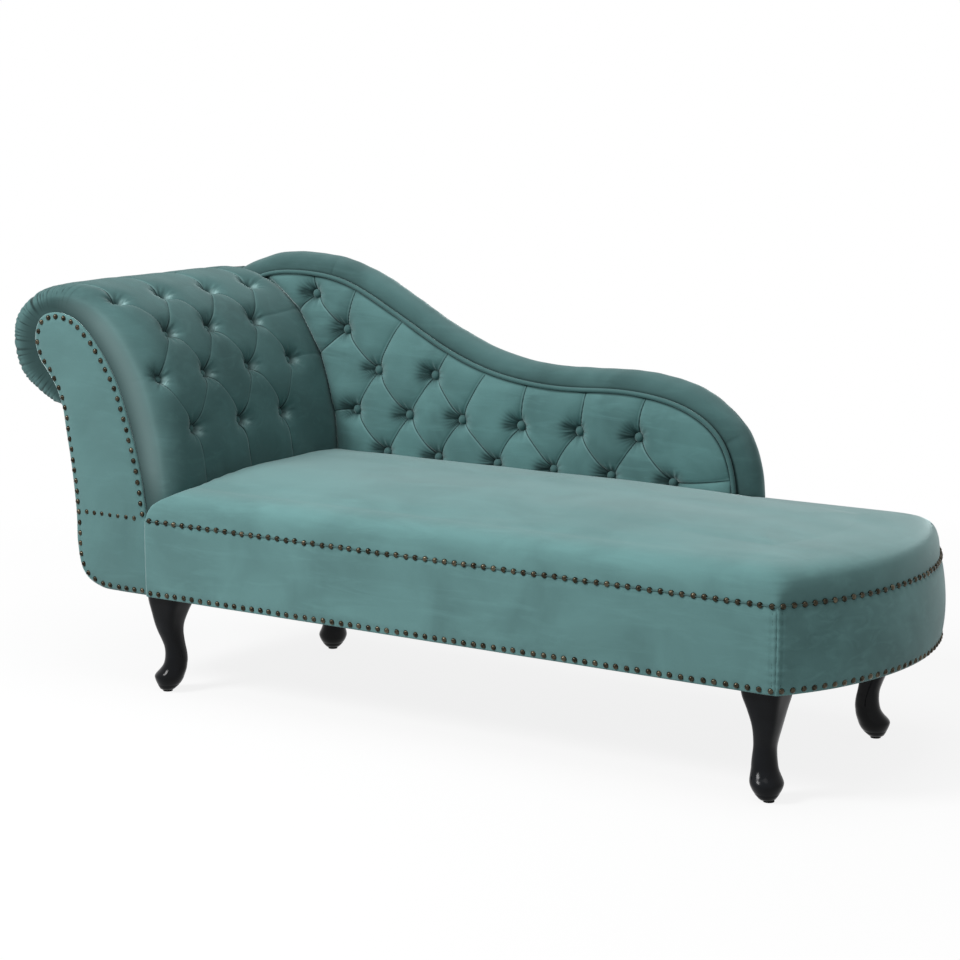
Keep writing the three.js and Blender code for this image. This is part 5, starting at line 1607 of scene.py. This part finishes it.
class BuildNails(bpy.types.Operator):
    """Sets the rows of domed nails, and the thin cord under the top row"""
    bl_idname = "couch.nails"
    bl_label = "Nails"

    def execute(self, context):
        sizes = context.scene.couch_sizes
        pitch = sizes.nail_pitch / MM
        tree = scatter_tree("nail_tree", 12, 7)
        chance = np.random.default_rng(9)
        for name, height in (("nails_top", FRAME_TOP + 0.3), ("nails_bottom", LOW_NAIL_Z)):
            places, outs = self.band_places(height, pitch)
            self.row(name + "_heads", places, outs, tree, sizes, chance, name)
        nails = nail_line(1.0)
        run = lengths_along(nails)
        marks = (np.arange(round(run[-1] / pitch)) + 0.5) * run[-1] / round(run[-1] / pitch)
        flat = np.column_stack([np.interp(marks, run, nails[:, axis]) for axis in (0, 1)])
        left, right = arm_place(ARM_OUTSIDE[-1][0], 0)[0], arm_place(ARM_STATIONS[0][2], 0)[0]
        count = round((right - left) / pitch)
        cross = np.column_stack([np.linspace(left, right, count + 1)[1:-1], np.full(count - 1, SEAT_Z)])
        flat = np.vstack([flat, cross])
        outs = np.tile((0.0, -1.0, 0.0), (len(flat), 1))
        self.row("nails_arm_heads", standing(flat, FACING_FRONT_Y), outs, tree, sizes, chance, "nails_arm")
        line = np.vstack([[(JOINT_X + 2, FRONT_Y)], foot_arc(0, 120)])
        line, _ = even_line(line, 6.0)
        path = lying(line - 0.6 * left_normals(line), FRAME_TOP + 0.5)
        piping = bpy.data.node_groups.get("piping_tree") or piping_tree("piping_tree")
        thread = piped("seat_edge_cord", path, 0.0009, piping, finish_named("velvet_trim"), 8)
        finish_piece(thread, "velvet")
        return {"FINISHED"}

    def band_places(self, height, pitch):
        """Nail places along the front and round the bowed foot end."""
        seat = CORNER_X - JOINT_X
        count = round(seat / pitch)
        front = JOINT_X + (np.arange(count) + 0.5) * seat / count
        reach = math.asin(BACK_Y / BOW_RADIUS)
        count = round(2 * reach * BOW_RADIUS / pitch)
        angle = (np.arange(count) + 0.5) * 2 * reach / count - reach
        run = BOW_RADIUS * (angle + reach)
        radius = BOW_RADIUS + foot_bulge(height) * foot_middle(run, 2 * reach * BOW_RADIUS)
        bow = np.column_stack([BOW_CENTRE_X + radius * np.cos(angle), radius * np.sin(angle)])
        flat = np.vstack([np.column_stack([front, np.full(len(front), FRONT_Y)]), bow])
        outs = np.vstack([np.tile((0.0, -1.0, 0.0), (len(front), 1)),
                          np.column_stack([np.cos(angle), np.sin(angle), np.zeros(count)])])
        return lying(flat, height), outs

    def row(self, name, places, outs, tree, sizes, chance, node):
        """One row of heads, each a little off its place and its aim as set by hand."""
        along = np.cross(outs, (0.0, 0.0, 1.0))
        places = places + along * chance.normal(scale=NAIL_OFF_PLACE, size=(len(places), 1))
        places = places - NAIL_SINK * outs
        places[:, 2] += chance.normal(scale=NAIL_OFF_ROW, size=len(places))
        aims = outs + chance.normal(scale=NAIL_OFF_AIM, size=outs.shape)
        width = sizes.nail_width
        piece = scattered(name, places, aims, along, tree, (width, width, sizes.nail_rise),
                          finish_named("antique_brass"))
        finish_piece(piece, "antique_brass", node)


class BuildStitches(bpy.types.Operator):
    """Sews the double rows of stitches on the corner seams of the bands"""
    bl_idname = "couch.stitches"
    bl_label = "Corner stitches"

    def execute(self, context):
        sizes = context.scene.couch_sizes
        tree = scatter_tree("stitch_tree", 8, 5)
        heights = np.arange(BASE_BOTTOM + 16, FRAME_TOP - 8, sizes.stitch_length / MM * 1.35)
        reach = math.asin(BACK_Y / BOW_RADIUS)
        places, outs = [], []
        for end in (-1, 1):
            for height in heights:
                places.append((CORNER_X - STITCH_INSET, end * BACK_Y + 0.1 * end, height))
                outs.append((0.0, end, 0.0))
                angle = end * (reach - STITCH_INSET / BOW_RADIUS)
                out = np.array([math.cos(angle), math.sin(angle)])
                flat = np.array([BOW_CENTRE_X, 0]) + (BOW_RADIUS + 0.1) * out
                places.append((flat[0], flat[1], height))
                outs.append((out[0], out[1], 0.0))
        along = np.tile((0.0, 0.0, 1.0), (len(places), 1))
        piece = scattered("corner_stitches", places, outs, along, tree,
                          (sizes.stitch_length, sizes.stitch_width, sizes.stitch_width / 2),
                          finish_named("velvet_trim"))
        finish_piece(piece, "velvet")
        return {"FINISHED"}


class BuildLegs(bpy.types.Operator):
    """Turns and carves the four lacquered cabriole legs"""
    bl_idname = "couch.legs"
    bl_label = "Legs"

    def execute(self, context):
        body = spline(LEG_BODY, np.linspace(0, len(LEG_BODY) - 1, LEG_ROWS))
        angle = (np.arange(LEG_SIDES) + 0.5) * 2 * math.pi / LEG_SIDES
        cos, sin = np.cos(angle), np.sin(angle)
        power = LEG_SQUARE_POWER
        square = (np.abs(cos) ** power + np.abs(sin) ** power) ** (-1 / power)
        rings = []
        for height, shift, width, squareness in np.vstack([LEG_FOOT, body]):
            radius = LEG_TOP / 2 * width * (1 + (square - 1) * np.clip(squareness, 0, 1))
            middle = shift * LEG_TOP * math.sqrt(0.5)
            ring = np.column_stack([middle + radius * cos, middle + radius * sin])
            rings.append(lying(ring, height * LEG_HEIGHT))
        rings = np.array(rings)
        for corner, x, y, turns in LEG_PLACES:
            turned = rings.copy()
            for _ in range(turns):
                turned[..., 0], turned[..., 1] = -turned[..., 1].copy(), turned[..., 0].copy()
            turned += np.array([x, y, GLIDE_HEIGHT])
            vertices, faces = skin(turned)
            leg = new_piece("cabriole_leg_" + corner, vertices, faces, finish_named("black_lacquer"))
            finish_piece(leg, "lacquered_wood", "leg_" + corner)
        return {"FINISHED"}


class DressFrame(bpy.types.Operator):
    """Gives the rails, boards, springs, foam and fasteners of the frame their finishes"""
    bl_idname = "couch.dress_frame"
    bl_label = "Frame finishes"

    finishes = {
        "pine_long": ("front_rail", "back_rail", "spring_rail", "corner_block_"),
        "pine_deep": ("head_rail", "joint_rail", "foot_cross_rail", "arm_rail_"),
        "pine_tall": ("back_post_",),
        "plywood": ("foot_rail", "scroll_board_", "back_board", "back_rear_frame"),
        "hardboard": ("arm_liner",),
        "seat_foam": ("seat_foam",),
        "deck_cloth": ("deck_cloth",),
        "dust_cloth": ("dust_cover",),
        "glide_felt": ("glide_",),
        "plated_steel": ("seat_spring_", "hanger_bolt_", "leg_plate_"),
    }

    def execute(self, context):
        for finish, starts in self.finishes.items():
            material = finish_named(finish)
            for name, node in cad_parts.items():
                if name.startswith(starts):
                    for slot in node.material_slots:
                        slot.material = material
        return {"FINISHED"}


class CouchPanel(bpy.types.Panel):
    """Lists the steps that build the couch, with its sizes and colours"""
    bl_idname = "VIEW3D_PT_couch"
    bl_label = "Fainting Couch"
    bl_space_type = "VIEW_3D"
    bl_region_type = "UI"
    bl_category = "Couch"

    def draw(self, context):
        layout = self.layout
        for step in STEPS:
            layout.operator(step.bl_idname)
        for title, group in (("Sizes", context.scene.couch_sizes), ("Colours", context.scene.couch_colours)):
            layout.label(text=title)
            for name in group.__annotations__:
                layout.prop(group, name)


STEPS = (BuildStage, BuildArmPad, BuildArmPanels, BuildBackPad, BuildBackTrim, BuildSeat,
         BuildBands, BuildNails, BuildStitches, BuildLegs, DressFrame)
CLASSES = (CouchSizes, CouchColours, *STEPS, CouchPanel)


def register():
    for item in CLASSES:
        bpy.utils.register_class(item)
    bpy.types.Scene.couch_sizes = bpy.props.PointerProperty(type=CouchSizes)
    bpy.types.Scene.couch_colours = bpy.props.PointerProperty(type=CouchColours)


def unregister():
    del bpy.types.Scene.couch_colours
    del bpy.types.Scene.couch_sizes
    for item in reversed(CLASSES):
        bpy.utils.unregister_class(item)


def main():
    """Builds the whole couch."""
    register()
    for step in STEPS:
        group, name = step.bl_idname.split(".")
        getattr(getattr(bpy.ops, group), name)()


if __name__ == "__main__":
    main()
